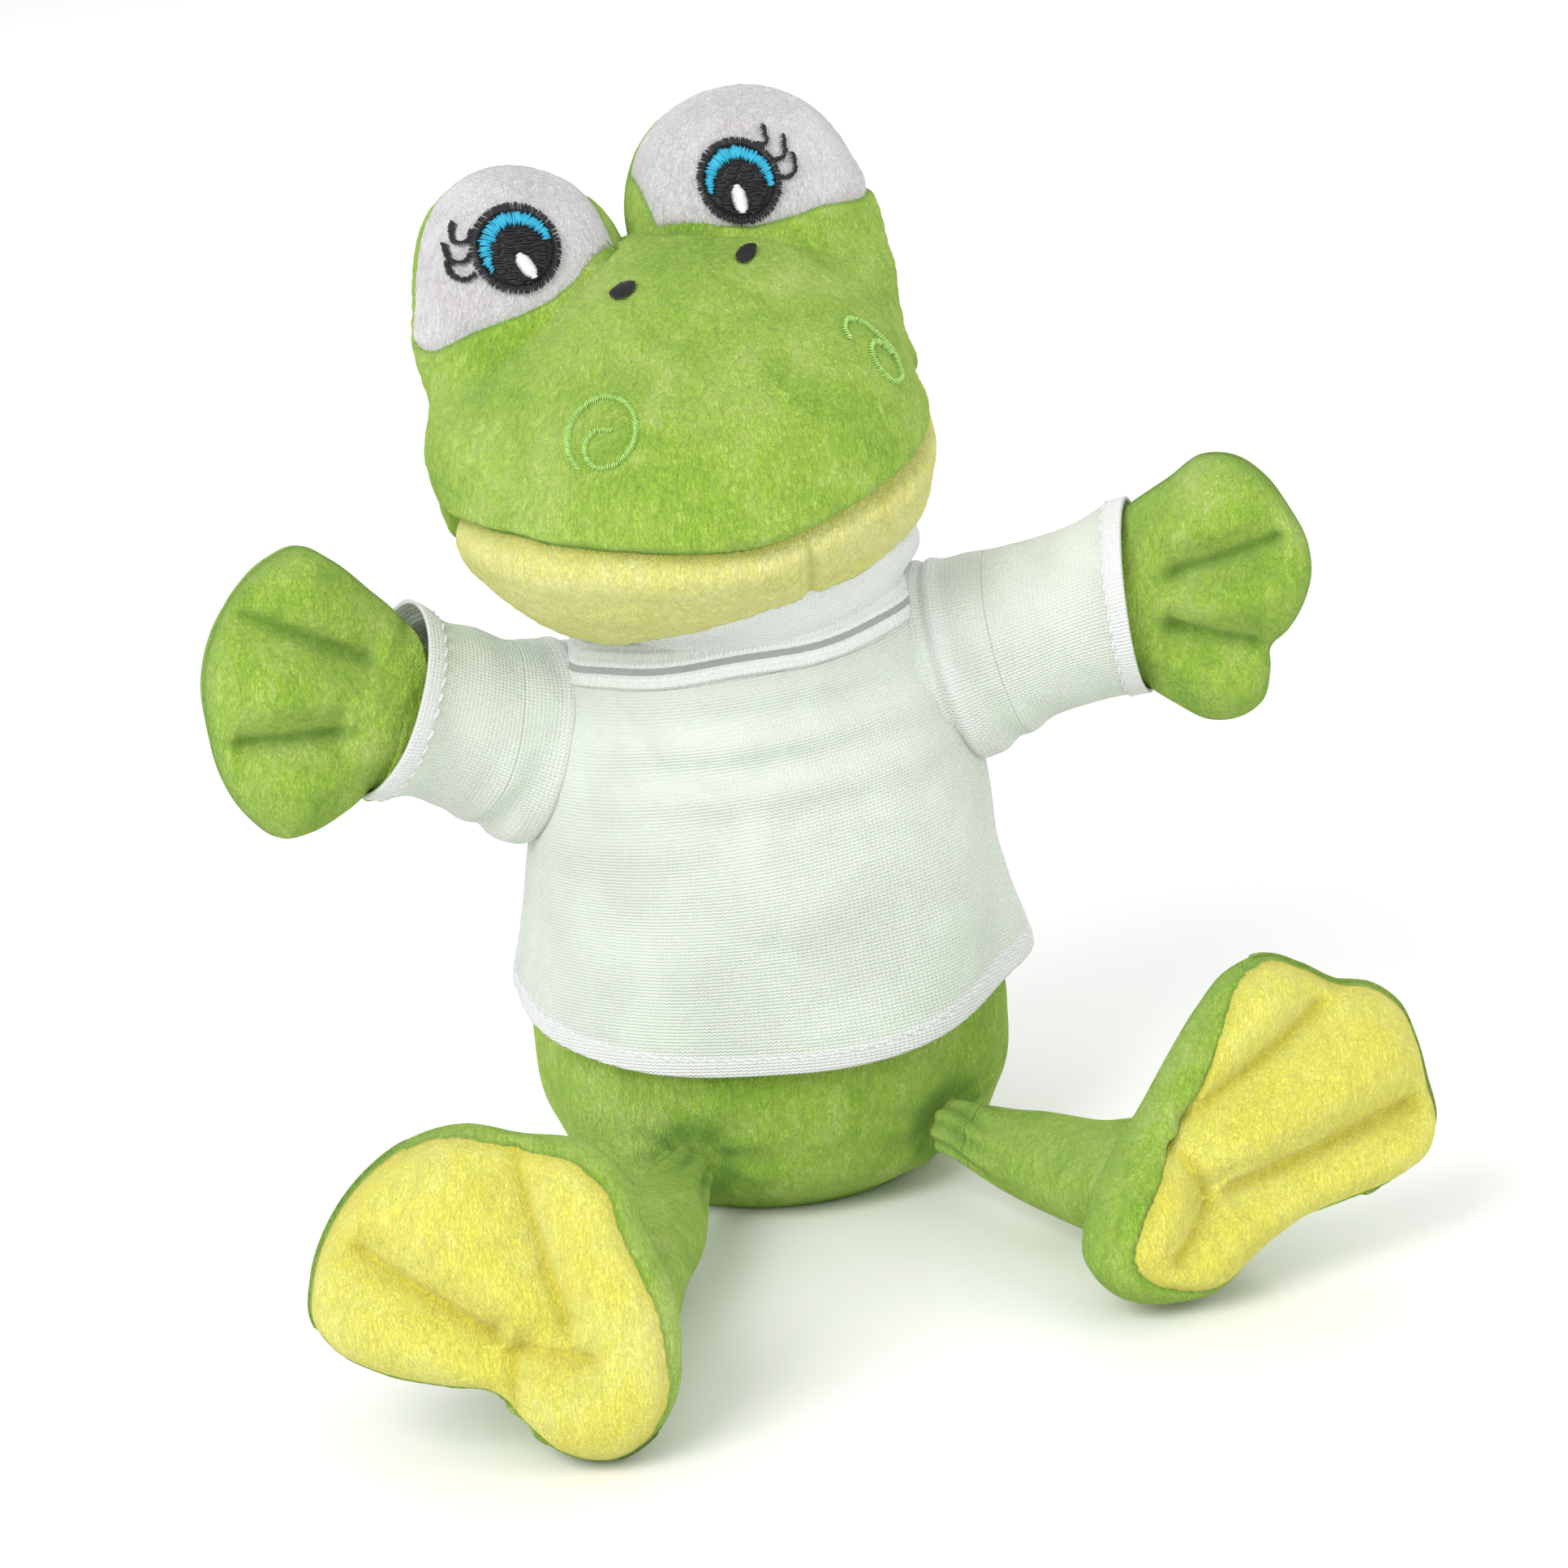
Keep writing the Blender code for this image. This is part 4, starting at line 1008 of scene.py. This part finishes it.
def run_stitches(name, line, out, length, gap, radius, look, body, slant=0.0):
    """Short raised stitches along a line of points."""
    line, out = np.asarray(line), np.asarray(out)
    steps = np.concatenate([[0], np.cumsum(np.linalg.norm(np.diff(line, axis=0), axis=1))])
    starts = np.arange(0.0005, steps[-1] - length, length + gap)
    stations, sides = 6, 6
    t = np.linspace(0, 1, stations)
    points, faces = [], []
    one = grid_faces(stations, sides, True)
    size = stations * sides
    caps = [list(range(sides)), list(range(size - sides, size))]
    turn = 2 * pi * np.arange(sides) / sides
    for n, start in enumerate(starts):
        s = start + t * length
        middle = np.stack([np.interp(s, steps, line[:, k]) for k in range(3)], -1)
        normal = np.stack([np.interp(s, steps, out[:, k]) for k in range(3)], -1)
        normal /= np.linalg.norm(normal, axis=1, keepdims=True)
        along = np.gradient(middle, axis=0)
        along /= np.linalg.norm(along, axis=1, keepdims=True)
        across = np.cross(along, normal)
        middle = middle + across * (slant * (t - 0.5))[:, None]
        middle = middle + normal * (radius * (1.1 * np.sin(pi * t) - 0.4))[:, None]
        ring = np.cos(turn)[:, None] * across[:, None] + np.sin(turn)[:, None] * normal[:, None]
        points.append(middle[:, None] + radius * ring)
        faces += [[v + n * size for v in face] for face in one + caps]
    obj = piece(name, np.array(points), faces, looks[look])
    if body:
        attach(obj, body)
    return obj


def hem_stitches(name, p, out, cloth, looks):
    """One row of the twin-needle line above the hem."""
    low = hem_height((pi if name == "front" else 0) + pi * np.linspace(0, 1, p.shape[1]))
    for k, height in enumerate((0.0034,)):
        share = height / (0.1125 - low)
        row = share * (p.shape[0] - 1)
        i = row.astype(int)
        f = (row - i)[:, None]
        j = np.arange(p.shape[1])
        line = leaning(p[i, j] * (1 - f) + p[i + 1, j] * f)
        normal = out[0] if out.shape[0] == 1 else out[i, j]
        run_stitches(
            f"hem_stitches_{name}", line[3:-3], normal[3:-3], 0.0021, 0.0007, 0.00022,
            "bright", "torso", 0.0007,
        )


def make_collar(looks):
    """The ribbed neckband: a doubled strip that stands on the neck edge."""
    count, sides = 300, 20
    t = 2 * pi * np.arange(count)[:, None] / count + pi / 2
    s = 2 * pi * np.arange(sides)[None, :] / sides
    high, fat = 0.0040, 0.0012
    rise, bulge = high * np.sin(s), fat * np.cos(s)
    rib = 0.00012 * np.cos(96 * t) * (np.cos(s) > 0)
    lean_in = -0.45 * rise
    w, d = 0.0326 + lean_in + bulge + rib, 0.0270 + lean_in + bulge + rib
    wave = 0.0004 * np.sin(3 * t + 1) + 0.0003 * np.sin(7 * t)
    p = np.stack([w * np.cos(t), d * np.sin(t), 0.1138 + rise + wave], -1)
    cloth = np.stack([0.031 * t + 0 * s, 0.004 * s / pi + 0 * t], -1)
    faces = [[v % (count * sides) for v in face] for face in grid_faces(count + 1, sides, True)]
    obj = piece(
        "shirt_neckband", leaning(p), faces, looks["shirt"],
        marks={"hem": 0.55 + 0 * p[..., 0]}, cloth=cloth,
    )
    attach(obj, "torso")
    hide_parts("shirt_collar")


def make_neck(looks):
    """The plush neck that fills the space between the collar and the head."""
    tip = np.radians([104, 100, 96, 91, 86, 81, 76, 68, 58, 46, 34, 24, 17])
    reach = [0.0285, 0.0290, 0.0300, 0.0325, 0.0350, 0.0364, 0.0370, 0.0371, 0.0371, 0.0371, 0.0371, 0.0371, 0.0371]
    rows, columns = 60, 120
    a = np.linspace(tip[0], tip[-1], rows)
    r = spline(-tip, reach, -a)
    t = 2 * pi * np.arange(columns)[None, :] / columns + pi / 2
    ring, z = (r * np.sin(a))[:, None], (r * np.cos(a))[:, None]
    p = np.stack([ring * np.cos(t), ring * np.sin(t), z + 0 * t], -1)
    p *= 1 - 0.006 * (1 + lumps(p, 0.009, 8))[..., None]
    p += np.array(NECK)
    inner = NECK_ROOM_SHARE * (p - np.array(NECK)) + np.array(NECK)
    # the neck is darkened evenly towards the plush's deep colour
    obj = piece(
        "neck_skin", inner, grid_faces(rows, columns, True), looks["green"],
        marks={"seam": 0.3 + 0 * p[..., 0]}, thick=0.0012,
    )
    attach(obj, "neck")
    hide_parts("neck_tube")
    make_neck_fold(p[: int(0.62 * rows)], looks)
    seam_ring("neck_seam", Matrix.Translation(NECK), 0.0205, 0.0013, 44, "neck_top", "neck_ring", looks)


def make_neck_fold(p, looks):
    """The soft folded band of the shirt that stands up round the neck."""
    rows, columns = p.shape[:2]
    v = np.linspace(0, 1, rows)[:, None]
    t = 2 * pi * np.arange(columns)[None, :] / columns + pi / 2
    crease = np.sin(17 * v + 1.3 * np.sin(2 * t) + 0.8 * np.sin(3 * t + 1)) * smooth(v, 0, 0.15) * (1 - smooth(v, 0.8, 1))
    middle = np.array(NECK)
    q = middle + (p - middle) * (1 - 0.016 + 0.016 * crease)[..., None]
    cloth = np.stack([0.034 * t + 0 * v, 0.024 * v + 0 * t], -1)
    obj = piece(
        "shirt_neck_fold", q, grid_faces(rows, columns, True), looks["shirt"],
        marks={"hem": 0.8 + 0 * crease}, cloth=cloth, thick=0.0008,
    )
    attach(obj, "neck")


def seam_ring(name, matrix, radius, thick, stitches, body, node, looks):
    """A sewn ring where two tubes of cloth join, over-sewn with thread."""
    count, sides = 12 * stitches, 10
    t = 2 * pi * np.arange(count)[:, None] / count
    s = 2 * pi * np.arange(sides)[None, :] / sides
    fat = thick * (1 + 0.16 * np.cos(stitches * t + s))
    ring = radius + fat * np.cos(s)
    p = np.stack([ring * np.cos(t), ring * np.sin(t), fat * np.sin(s)], -1)
    faces = [[v % (count * sides) for v in face] for face in grid_faces(count + 1, sides, True)]
    obj = piece(name, p, faces, looks["leaf"], matrix)
    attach(obj, body)
    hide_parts(node)


def make_pocket(looks):
    """The closed tube of lining that takes the finger, with its puckered end."""
    local = HEAD.inverted() @ NECK
    up = -local.normalized()
    place = HEAD @ Matrix.Translation(local) @ up.to_track_quat("Z", "Y").to_matrix().to_4x4()
    along = [0.026, 0.034, 0.044, 0.0535, 0.0585, 0.0615, 0.0628]
    radius = [0.0105, 0.0105, 0.0105, 0.0103, 0.0084, 0.0050, 0.0006]
    rows, columns = 50, 48
    x = np.linspace(along[0], along[-1], rows)[:, None]
    t = 2 * pi * np.arange(columns)[None, :] / columns
    r = spline(along, radius, x) * (1 - 0.02 * (1 + np.cos(8 * t)) * smooth(x, 0.050, 0.062))
    p = np.stack([r * np.cos(t), r * np.sin(t), x + 0 * t], -1)
    cloth = np.stack([0.0105 * t + 0 * x, x + 0 * t], -1)
    obj = piece(
        "finger_sleeve", p, grid_faces(rows, columns, True), looks["lining"], place,
        cloth=cloth, thick=0.0008,
    )
    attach(obj, "head")
    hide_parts("finger_pocket")


# ---------------------------------------------------------------- arms
SHOULDERS = {"left": Vector((-0.040, 0, 0.092)), "right": Vector((0.040, 0, 0.102))}
HANDS = {"left": Vector((-0.084, -0.022, 0.109)), "right": Vector((0.093, -0.012, 0.116))}
HAND_AT = 0.0533
CUFF = {"left": (0.0345, -0.0020, 0.0036), "right": (0.0390, 0.0030, 0.0026)}
HAND_SHAPE = {
    "left": (
        (19, 10), (16.5, 19.5), (11, 27), (5.6, 30.4), (-1.5, 28.8), (-10, 24.6), (-19, 19), (-22, 0),
        (-19, -13), (-13, -20), (-8, -23.6), (-3.6, -25.2), (4.6, -21.8), (11.2, -15), (16, -6), (18.8, 2.5),
    ),
    "right": (
        (19.8, 4), (18.2, 12), (15.8, 18.4), (11.5, 23.6), (5.4, 25.6), (-2, 23), (-10.8, 20), (-19, 16),
        (-22, 0), (-19, -13), (-13.4, -20), (-8.2, -24.6), (-3, -25.7), (2.4, -24), (5.6, -18.6),
        (7.0, -14.2), (11.4, -11.6), (15.2, -8), (18.9, -1.8),
    ),
}
HAND_GROOVES = {
    "left": (((17.5, 17.0), (-13.5, 11.0)), ((13.0, -8.2), (-9.5, -2.0))),
    "right": (((-8.0, 6.2), (17.5, 7.0)), ((-11.0, -2.1), (7.0, -12.5))),
}


def arm_frame(side):
    along = (HANDS[side] - SHOULDERS[side]).normalized()
    up = (Vector((0, 0, 1)) - along * along.z).normalized()
    turn = Matrix((along, up.cross(along), up)).transposed().to_4x4()
    return Matrix.Translation(SHOULDERS[side]) @ turn


def closed_outline(corners, count):
    """An even, smooth, closed line through a few corners given in millimetres."""
    ring = np.array(corners, float) / 1000
    wide = np.vstack([ring[-3:], ring, ring[:4]])
    steps = np.concatenate([[0], np.cumsum(np.linalg.norm(np.diff(wide, axis=0), axis=1))])
    t = np.linspace(steps[3], steps[3 + len(ring)], count, endpoint=False)
    return np.stack([spline(steps, wide[:, k], t) for k in range(2)], -1)


def pad(outline, half, rim, grooves, open_below=None, centre=(0, 0), rows=60, seed=1, crown=0.2):
    """Both faces of a stuffed pad, over one set of rings: the rings, one height for both faces, painted shade at
    the rim and in the grooves, and each point's distance from the edge.
    """
    s = np.linspace(0, 1, rows) ** 0.9
    middle = np.array(centre) / 1000
    flat = middle + s[:, None, None] * (outline - middle)
    edge = outline if open_below is None else outline[outline[:, 0] > open_below]
    away = np.linalg.norm(flat[:, :, None] - edge[None, None], axis=-1).min(-1)
    away[-1] = np.where(outline[:, 0] > (-1 if open_below is None else open_below), 0, away[-1])
    near = np.minimum(away / rim, 1)
    dome = np.sqrt(np.maximum(1 - (1 - near) ** 2, 0))
    height = half * ((1 - crown) * dome + crown * (1 - s[:, None] ** 2) * near)
    # dark is painted shade: along the rim seam here, and in the grooves below
    dark = 0.55 * hump(away, 0.0008)
    for start, end, depth, wide in grooves:
        d, t = segment_distance(flat, np.array(start) / 1000, np.array(end) / 1000)
        fade = smooth(t, 0, 0.12) * (1 - smooth(t, 0.88, 1)) * 0.6 + 0.4
        height = height - depth * fade * dome * (0.72 * hump(d, wide) + 0.28 * hump(d, wide * 0.25))
        dark = np.maximum(dark, 0.75 * fade * hump(d, 0.0010))
    p = np.stack([flat[..., 0], 0 * height, flat[..., 1]], -1)
    height = height + (0.0004 * lumps(p, 0.008, seed) + 0.00013 * lumps(p, 0.0015, 63)) * dome
    return flat, np.maximum(height, 0), dark, away


def make_hand(side, looks):
    outline = closed_outline(HAND_SHAPE[side], 220)
    grooves = [(a, b, 0.0066, 0.0052) for a, b in HAND_GROOVES[side]]
    flat, height, dark, _ = pad(outline, 0.0115, 0.0120, grooves, -0.0185, rows=70, seed=11)
    rows, columns = height.shape
    place = arm_frame(side) @ Matrix.Translation((HAND_AT, 0, 0))
    for name, sign in (("front", -1), ("back", 1)):
        p = np.stack([flat[..., 0], sign * height, flat[..., 1]], -1)
        # dark is the pad's painted shade at its rim seam and in its grooves
        obj = piece(
            f"hand_{name}_panel_{side}", p, face_out(p, grid_faces(rows, columns, True), np.zeros(3)),
            looks["green"], place, {"seam": dark}, thick=0.0012,
        )
        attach(obj, f"arm_{side}")
        nodes = [f"hand_{name}_{side}"] + ([f"hand_stuffing_{side}"] if name == "front" else [])
        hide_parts(*nodes)


def sleeve_points(side, x, turn):
    """The sleeve at distances x along the arm: deep at the shoulder, and wide at the cuff."""
    long, skew, rise = CUFF[side]
    at = [-0.014, -0.004, 0.004, 0.014, 0.6 * long, long]
    w = spline(at, [0.0150, 0.0156, 0.0150, 0.0142, 0.0140, 0.0150], x)
    h = spline(at, [0.0200, 0.0204, 0.0196, 0.0178, 0.0172, 0.0187], x)
    middle = rise * smooth(x, 0, long)
    z = h * np.sin(turn)
    along = x + skew * smooth(x, 0, long) * np.sin(turn)
    p = np.stack([along, w * np.cos(turn), middle + z], -1)
    out = np.stack([0 * z, np.cos(turn) / w, np.sin(turn) / h], -1)
    out /= np.linalg.norm(out, axis=-1, keepdims=True)
    fold = 0.0009 * lumps(p * np.array([1.7, 1, 1]), 0.012, 21 if side == "left" else 22)
    fold = fold + 0.0007 * np.sin(x * 700 + 2 * np.sin(turn)) * hump(x - 0.008, 0.006) * smooth(-np.sin(turn), -0.2, 0.8)
    return p + out * (fold * smooth(x, -0.006, 0.004))[..., None], out


def make_sleeve(side, looks):
    long = CUFF[side][0]
    split, start = 0.012, -0.010
    place = arm_frame(side)
    columns = 150
    turn = 2 * pi * np.arange(columns)[None, :] / columns - pi / 2
    for part, low, high in (("root", start, split), ("end", split, long)):
        rows = int((high - low) / 0.0004)
        x = np.linspace(low, high, rows)[:, None]
        p, out = sleeve_points(side, x, turn)
        band = smooth(x, long - 0.0042, long - 0.0034)
        seam = hump(x - 0.0022, 0.0016) if part == "root" else 0 * x
        lift = 0.0004 * band + 0.0006 * seam - 0.0007 * (hump(x - 0.0002, 0.0007) if part == "root" else 0)
        p = p + out * (lift + 0 * turn)[..., None]
        hem = np.maximum(0.9 * band, 0.7 * seam) + 0 * turn
        under = np.angle(np.exp(1j * (turn + pi / 2)))
        hem = np.maximum(hem, 0.7 * hump(under, 0.12))
        inner = p - 0.0009 * out
        both = np.concatenate([p, inner[::-1]])
        cloth = np.stack([0.0165 * turn + 0 * x, x + 0 * turn], -1)[..., ::-1]
        faces = grid_faces(2 * rows + 1, columns, True)
        faces = [[v % (2 * rows * columns) for v in face] for face in faces]
        obj = piece(
            f"sleeve_{part}_{side}", both, faces, looks["shirt"], place,
            {"hem": np.concatenate([hem, hem[::-1]])}, np.concatenate([cloth, cloth[::-1]]),
        )
        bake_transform(obj)
        if part == "end":
            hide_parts(f"shirt_sleeve_{side}")
    cuff_stitches(side, place, long, looks)


def cuff_stitches(side, place, long, looks):
    turn = np.linspace(0, 2 * pi, 260)
    line, out = sleeve_points(side, np.full(260, long - 0.0037), turn)
    line = line + 0.0003 * out
    m = np.array(place)
    run_stitches(
        f"cuff_stitches_{side}", moved(line, place), out @ m[:3, :3].T, 0.0021, 0.0009, 0.00022,
        "bright", f"arm_{side}", 0.0005,
    )


def make_arm(side, looks):
    """The plush tube under the sleeve, from the body to the wrist."""
    place = arm_frame(side)
    columns = 72
    turn = 2 * pi * np.arange(columns)[None, :] / columns
    split, start, end = 0.010, -0.009, 0.0345
    at = [start, 0.0, 0.012, 0.024, end]
    for part, low, high in (("root", start, split), ("skin", split, end)):
        rows = 30
        x = np.linspace(low, high, rows)[:, None]
        w = spline(at, [0.0100, 0.0104, 0.0105, 0.0103, 0.0100], x)
        h = spline(at, [0.0120, 0.0124, 0.0124, 0.0135, 0.0162], x)
        p = np.stack([x + 0 * turn, w * np.cos(turn), h * np.sin(turn)], -1)
        p[..., 1:] *= 1 + 0.02 * lumps(p, 0.008, 31)[..., None]
        obj = piece(
            f"arm_{part}_{side}", p, grid_faces(rows, columns, True), looks["green"], place,
            thick=0.0011,
        )
        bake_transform(obj)
        if part == "skin":
            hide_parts(f"arm_tube_{side}")
    turned = place @ Matrix.Rotation(pi / 2, 4, "Y")
    seam_ring(
        f"armhole_seam_{side}", turned, 0.0082, 0.0009, 22, f"shoulder_{side}", f"armhole_ring_{side}", looks
    )


# ---------------------------------------------------------------- legs and feet
FEET = {"left": Vector((-0.0455, -0.1235, 0.0300)), "right": Vector((0.0865, -0.0740, 0.0300))}
SOLES = {"left": Vector((-0.16, -0.95, 0.12)), "right": Vector((0.34, -0.92, 0.12))}
TOES = {"left": radians(-29), "right": radians(29)}
ANKLE = Vector((-0.0165, 0.0125, 0))
FOOT_SHAPE = {
    "left": (
        (34, 3), (31.5, -7), (25, -15), (18, -24), (9, -27), (1, -25), (-7, -24), (-14, -22.5), (-21, -19),
        (-28, -14), (-33, -5), (-33, 2), (-28, 9), (-19, 12.5), (-12, 14.5), (-7, 21), (1, 30), (9, 35),
        (15, 35.5), (22, 31), (28.5, 23), (33, 12),
    ),
    "right": (
        (31, 10), (31.5, 3), (31, -5), (32.5, -12), (31, -19), (26, -25), (20, -30), (13, -35), (7, -35.5),
        (0, -31), (-7, -22.5), (-13, -15), (-21, -9), (-30, -4), (-35, 4), (-37, 13), (-33, 22), (-23, 25),
        (-13, 24.5), (-3, 22.5), (8, 21), (18, 19), (26, 16),
    ),
}
FOOT_GROOVES = {
    "left": (
        ((27.0, -14.0), (-11.0, -4.0), 0.0070, 0.0062),
        ((25.0, 21.0), (-5.5, 5.5), 0.0064, 0.0060),
        ((-5.5, 5.5), (-16.0, -7.5), 0.0042, 0.0050),
        ((-5.5, 5.5), (-17.0, 12.0), 0.0040, 0.0046),
    ),
    "right": (
        ((29.0, -4.0), (-6.0, 18.0), 0.0070, 0.0062),
        ((17.5, -30.0), (-14.0, 5.8), 0.0070, 0.0058),
        ((-14.0, 5.8), (-6.5, 18.0), 0.0046, 0.0050),
        ((-14.0, 5.8), (-28.0, 9.5), 0.0042, 0.0048),
    ),
}
# Width of the green rim seen round the sole: the least, and what the wide side adds.
FOOT_RIM = {"left": (0.0010, 0.0020, -1.4), "right": (0.0010, 0.0058, 1.9)}


def foot_frame(side):
    """Local X to the toes, local -Y out of the sole."""
    out = SOLES[side].normalized()
    up = (Vector((0, 0, 1)) - out * out.z).normalized()
    toes = Matrix.Rotation(TOES[side], 3, -out) @ up
    turn = Matrix((toes, -out, toes.cross(-out))).transposed().to_4x4()
    return Matrix.Translation(FEET[side]) @ turn


def make_foot(side, looks):
    columns = 260
    outline = closed_outline(FOOT_SHAPE[side], columns)
    centre = (0, 3) if side == "left" else (-3, -2)
    turn = np.arctan2(outline[:, 1], outline[:, 0])
    flat, height, dark, away = pad(
        outline, 0.0118, 0.0120, FOOT_GROOVES[side], centre=centre, rows=90, seed=41, crown=0.12
    )
    plain_flat, plain, plain_shade, _ = pad(
        outline, 0.0112, 0.0115, (), centre=centre, rows=60, seed=42, crown=0.25
    )
    least, more, toward = FOOT_RIM[side]
    rim_in = least + more * smooth(np.cos(turn - toward), 0.0, 1.0)
    row = np.array([np.argmax(away[:, j] < rim_in[j]) for j in range(columns)])
    place = foot_frame(side)
    # sole: the front face in to the seam; each column ends where the rim begins
    steps = 76
    s = np.linspace(0, 1, steps)[:, None]
    index = s * row[None, :]
    sole = sample_columns(np.stack([flat[..., 0], -height, flat[..., 1]], -1), index)
    sole_shade = sample_columns(dark[..., None], index)[..., 0]
    to_seam = (row[None, :] - index) / row[None, :] * 0.025
    sole[..., 1] += 0.0009 * hump(to_seam, 0.0010)
    # painted shade in the grooves and along the seam to the rim
    sole_shade = np.maximum(sole_shade * 0.9, 0.6 * hump(to_seam, 0.0007))
    obj = piece(
        f"foot_sole_panel_{side}", sole, face_out(sole, grid_faces(steps, columns, True), np.array([0, 0.02, 0])),
        looks["sole"], place, {"seam": sole_shade}, thick=0.0012,
    )
    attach(obj, f"foot_{side}")
    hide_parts(f"foot_sole_{side}", f"foot_stuffing_{side}")
    # upper: from that seam out over the rim, and across the back to its middle
    last = flat.shape[0] - 1
    rim_steps = 14
    s = np.linspace(0, 1, rim_steps, endpoint=False)[:, None]
    index = row[None, :] + s * (last - row[None, :])
    rim = sample_columns(np.stack([flat[..., 0], -height, flat[..., 1]], -1), index)
    from_seam = (index - row[None, :]) / row[None, :] * 0.025
    rim[..., 1] += 0.0009 * hump(from_seam, 0.0010)
    # painted shade along the seam
    rim_shade = 0.6 * hump(from_seam, 0.0007)
    back_flat, back_height = plain_flat[::-1], plain[::-1]
    heel = np.hypot(back_flat[..., 0] + 0.0150, back_flat[..., 1])
    back_height = back_height * (1 - 0.52 * smooth(back_flat[..., 0], -0.008, 0.026))
    back_height = back_height + 0.0075 * hump(heel, 0.0150) * smooth(back_height, 0, 0.008)
    back = np.stack([back_flat[..., 0], back_height, back_flat[..., 1]], -1)
    upper = np.concatenate([rim, back])
    # painted shade: the seam, and fainter, the rim of the back
    upper_shade = np.concatenate([rim_shade, 0.4 * plain_shade[::-1]])
    obj = piece(
        f"foot_upper_panel_{side}", upper,
        face_out(upper, grid_faces(len(upper), columns, True), np.array([0, 0.0, 0])),
        looks["green"], place, {"seam": upper_shade}, thick=0.0012,
    )
    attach(obj, f"foot_{side}")
    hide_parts(f"foot_upper_{side}")


def sample_columns(grid, index):
    """Values of a grid at a fractional row in each column."""
    low = np.clip(index.astype(int), 0, grid.shape[0] - 2)
    share = (index - low)[..., None]
    columns = np.arange(grid.shape[1])[None, :]
    return grid[low, columns] * (1 - share) + grid[low + 1, columns] * share


def leg_line(side):
    hip = HIPS[side]
    ankle = foot_frame(side) @ ANKLE
    along = (ankle - hip).normalized()
    turn = along.to_track_quat("X", "Z").to_matrix().to_4x4()
    return Matrix.Translation(hip) @ turn, (ankle - hip).length


def make_leg(side, looks):
    """A plush tube gathered where it joins the belly, and widening to the heel."""
    place, long = leg_line(side)
    columns = 110
    turn = 2 * pi * np.arange(columns)[None, :] / columns
    start, hip_end, shin_end = -0.006, 0.003, long - 0.010
    tip = long + 0.006
    at = [start, 0.0, 0.006, 0.016, 0.5 * long, long - 0.008, tip]
    radius = [0.0050, 0.0058, 0.0068, 0.0088, 0.0100, 0.0122, 0.0118]
    drop = [0, 0, 0.0006, 0.0010, 0.0010, -0.0006, -0.0006]
    parts = (
        ("root", start, hip_end, ("torso", f"leg_root_{side}"), (-0.004, hip_end)),
        ("thigh", hip_end, shin_end, (f"leg_root_{side}", f"leg_{side}"), (hip_end, 0.016)),
        ("shin", shin_end, tip, (f"leg_{side}", f"foot_{side}"), (shin_end, long + 0.002)),
    )
    nodes = {"root": [f"leg_root_{side}"], "thigh": [f"leg_skin_{side}", f"leg_stuffing_{side}"], "shin": []}
    for part, low, high, bodies, ends in parts:
        rows = max(16, int((high - low) / 0.0006))
        x = np.linspace(low, high, rows)[:, None]
        r = spline(at, radius, x)
        p = np.stack([x + 0 * turn, r * np.cos(turn), r * np.sin(turn) - spline(at, drop, x)], -1)
        pleat = np.cos(8 * turn + 3 * lumps(p, 0.012, 51)) * (1 - smooth(x, 0.002, 0.017))
        swell = 1 + 0.09 * pleat + 0.030 * lumps(p, 0.009, 52)
        p[..., 1:] *= swell[..., None]
        # painted shade in the pleats' hollows and where the leg joins the belly
        dark = np.clip(0.55 * np.maximum(-pleat, 0) + 0.5 * hump(x - 0.001, 0.003), 0, 1) + 0 * turn
        obj = piece(
            f"leg_{part}_{side}", p, grid_faces(rows, columns, True), looks["green"], place,
            {"seam": dark}, thick=0.0011,
        )
        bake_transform(obj)
        if nodes[part]:
            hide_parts(*nodes[part])


# ---------------------------------------------------------------- all of it
make_camera()
make_studio()
looks = make_looks()
make_head(looks)
for side in SIDES:
    make_eye(side)
    make_marks(side)
make_pocket(looks)
make_body(looks)
make_neck(looks)
for side in SIDES:
    make_arm(side, looks)
make_shirt(looks)
for side in SIDES:
    make_sleeve(side, looks)
    make_hand(side, looks)
    make_foot(side, looks)
    make_leg(side, looks)
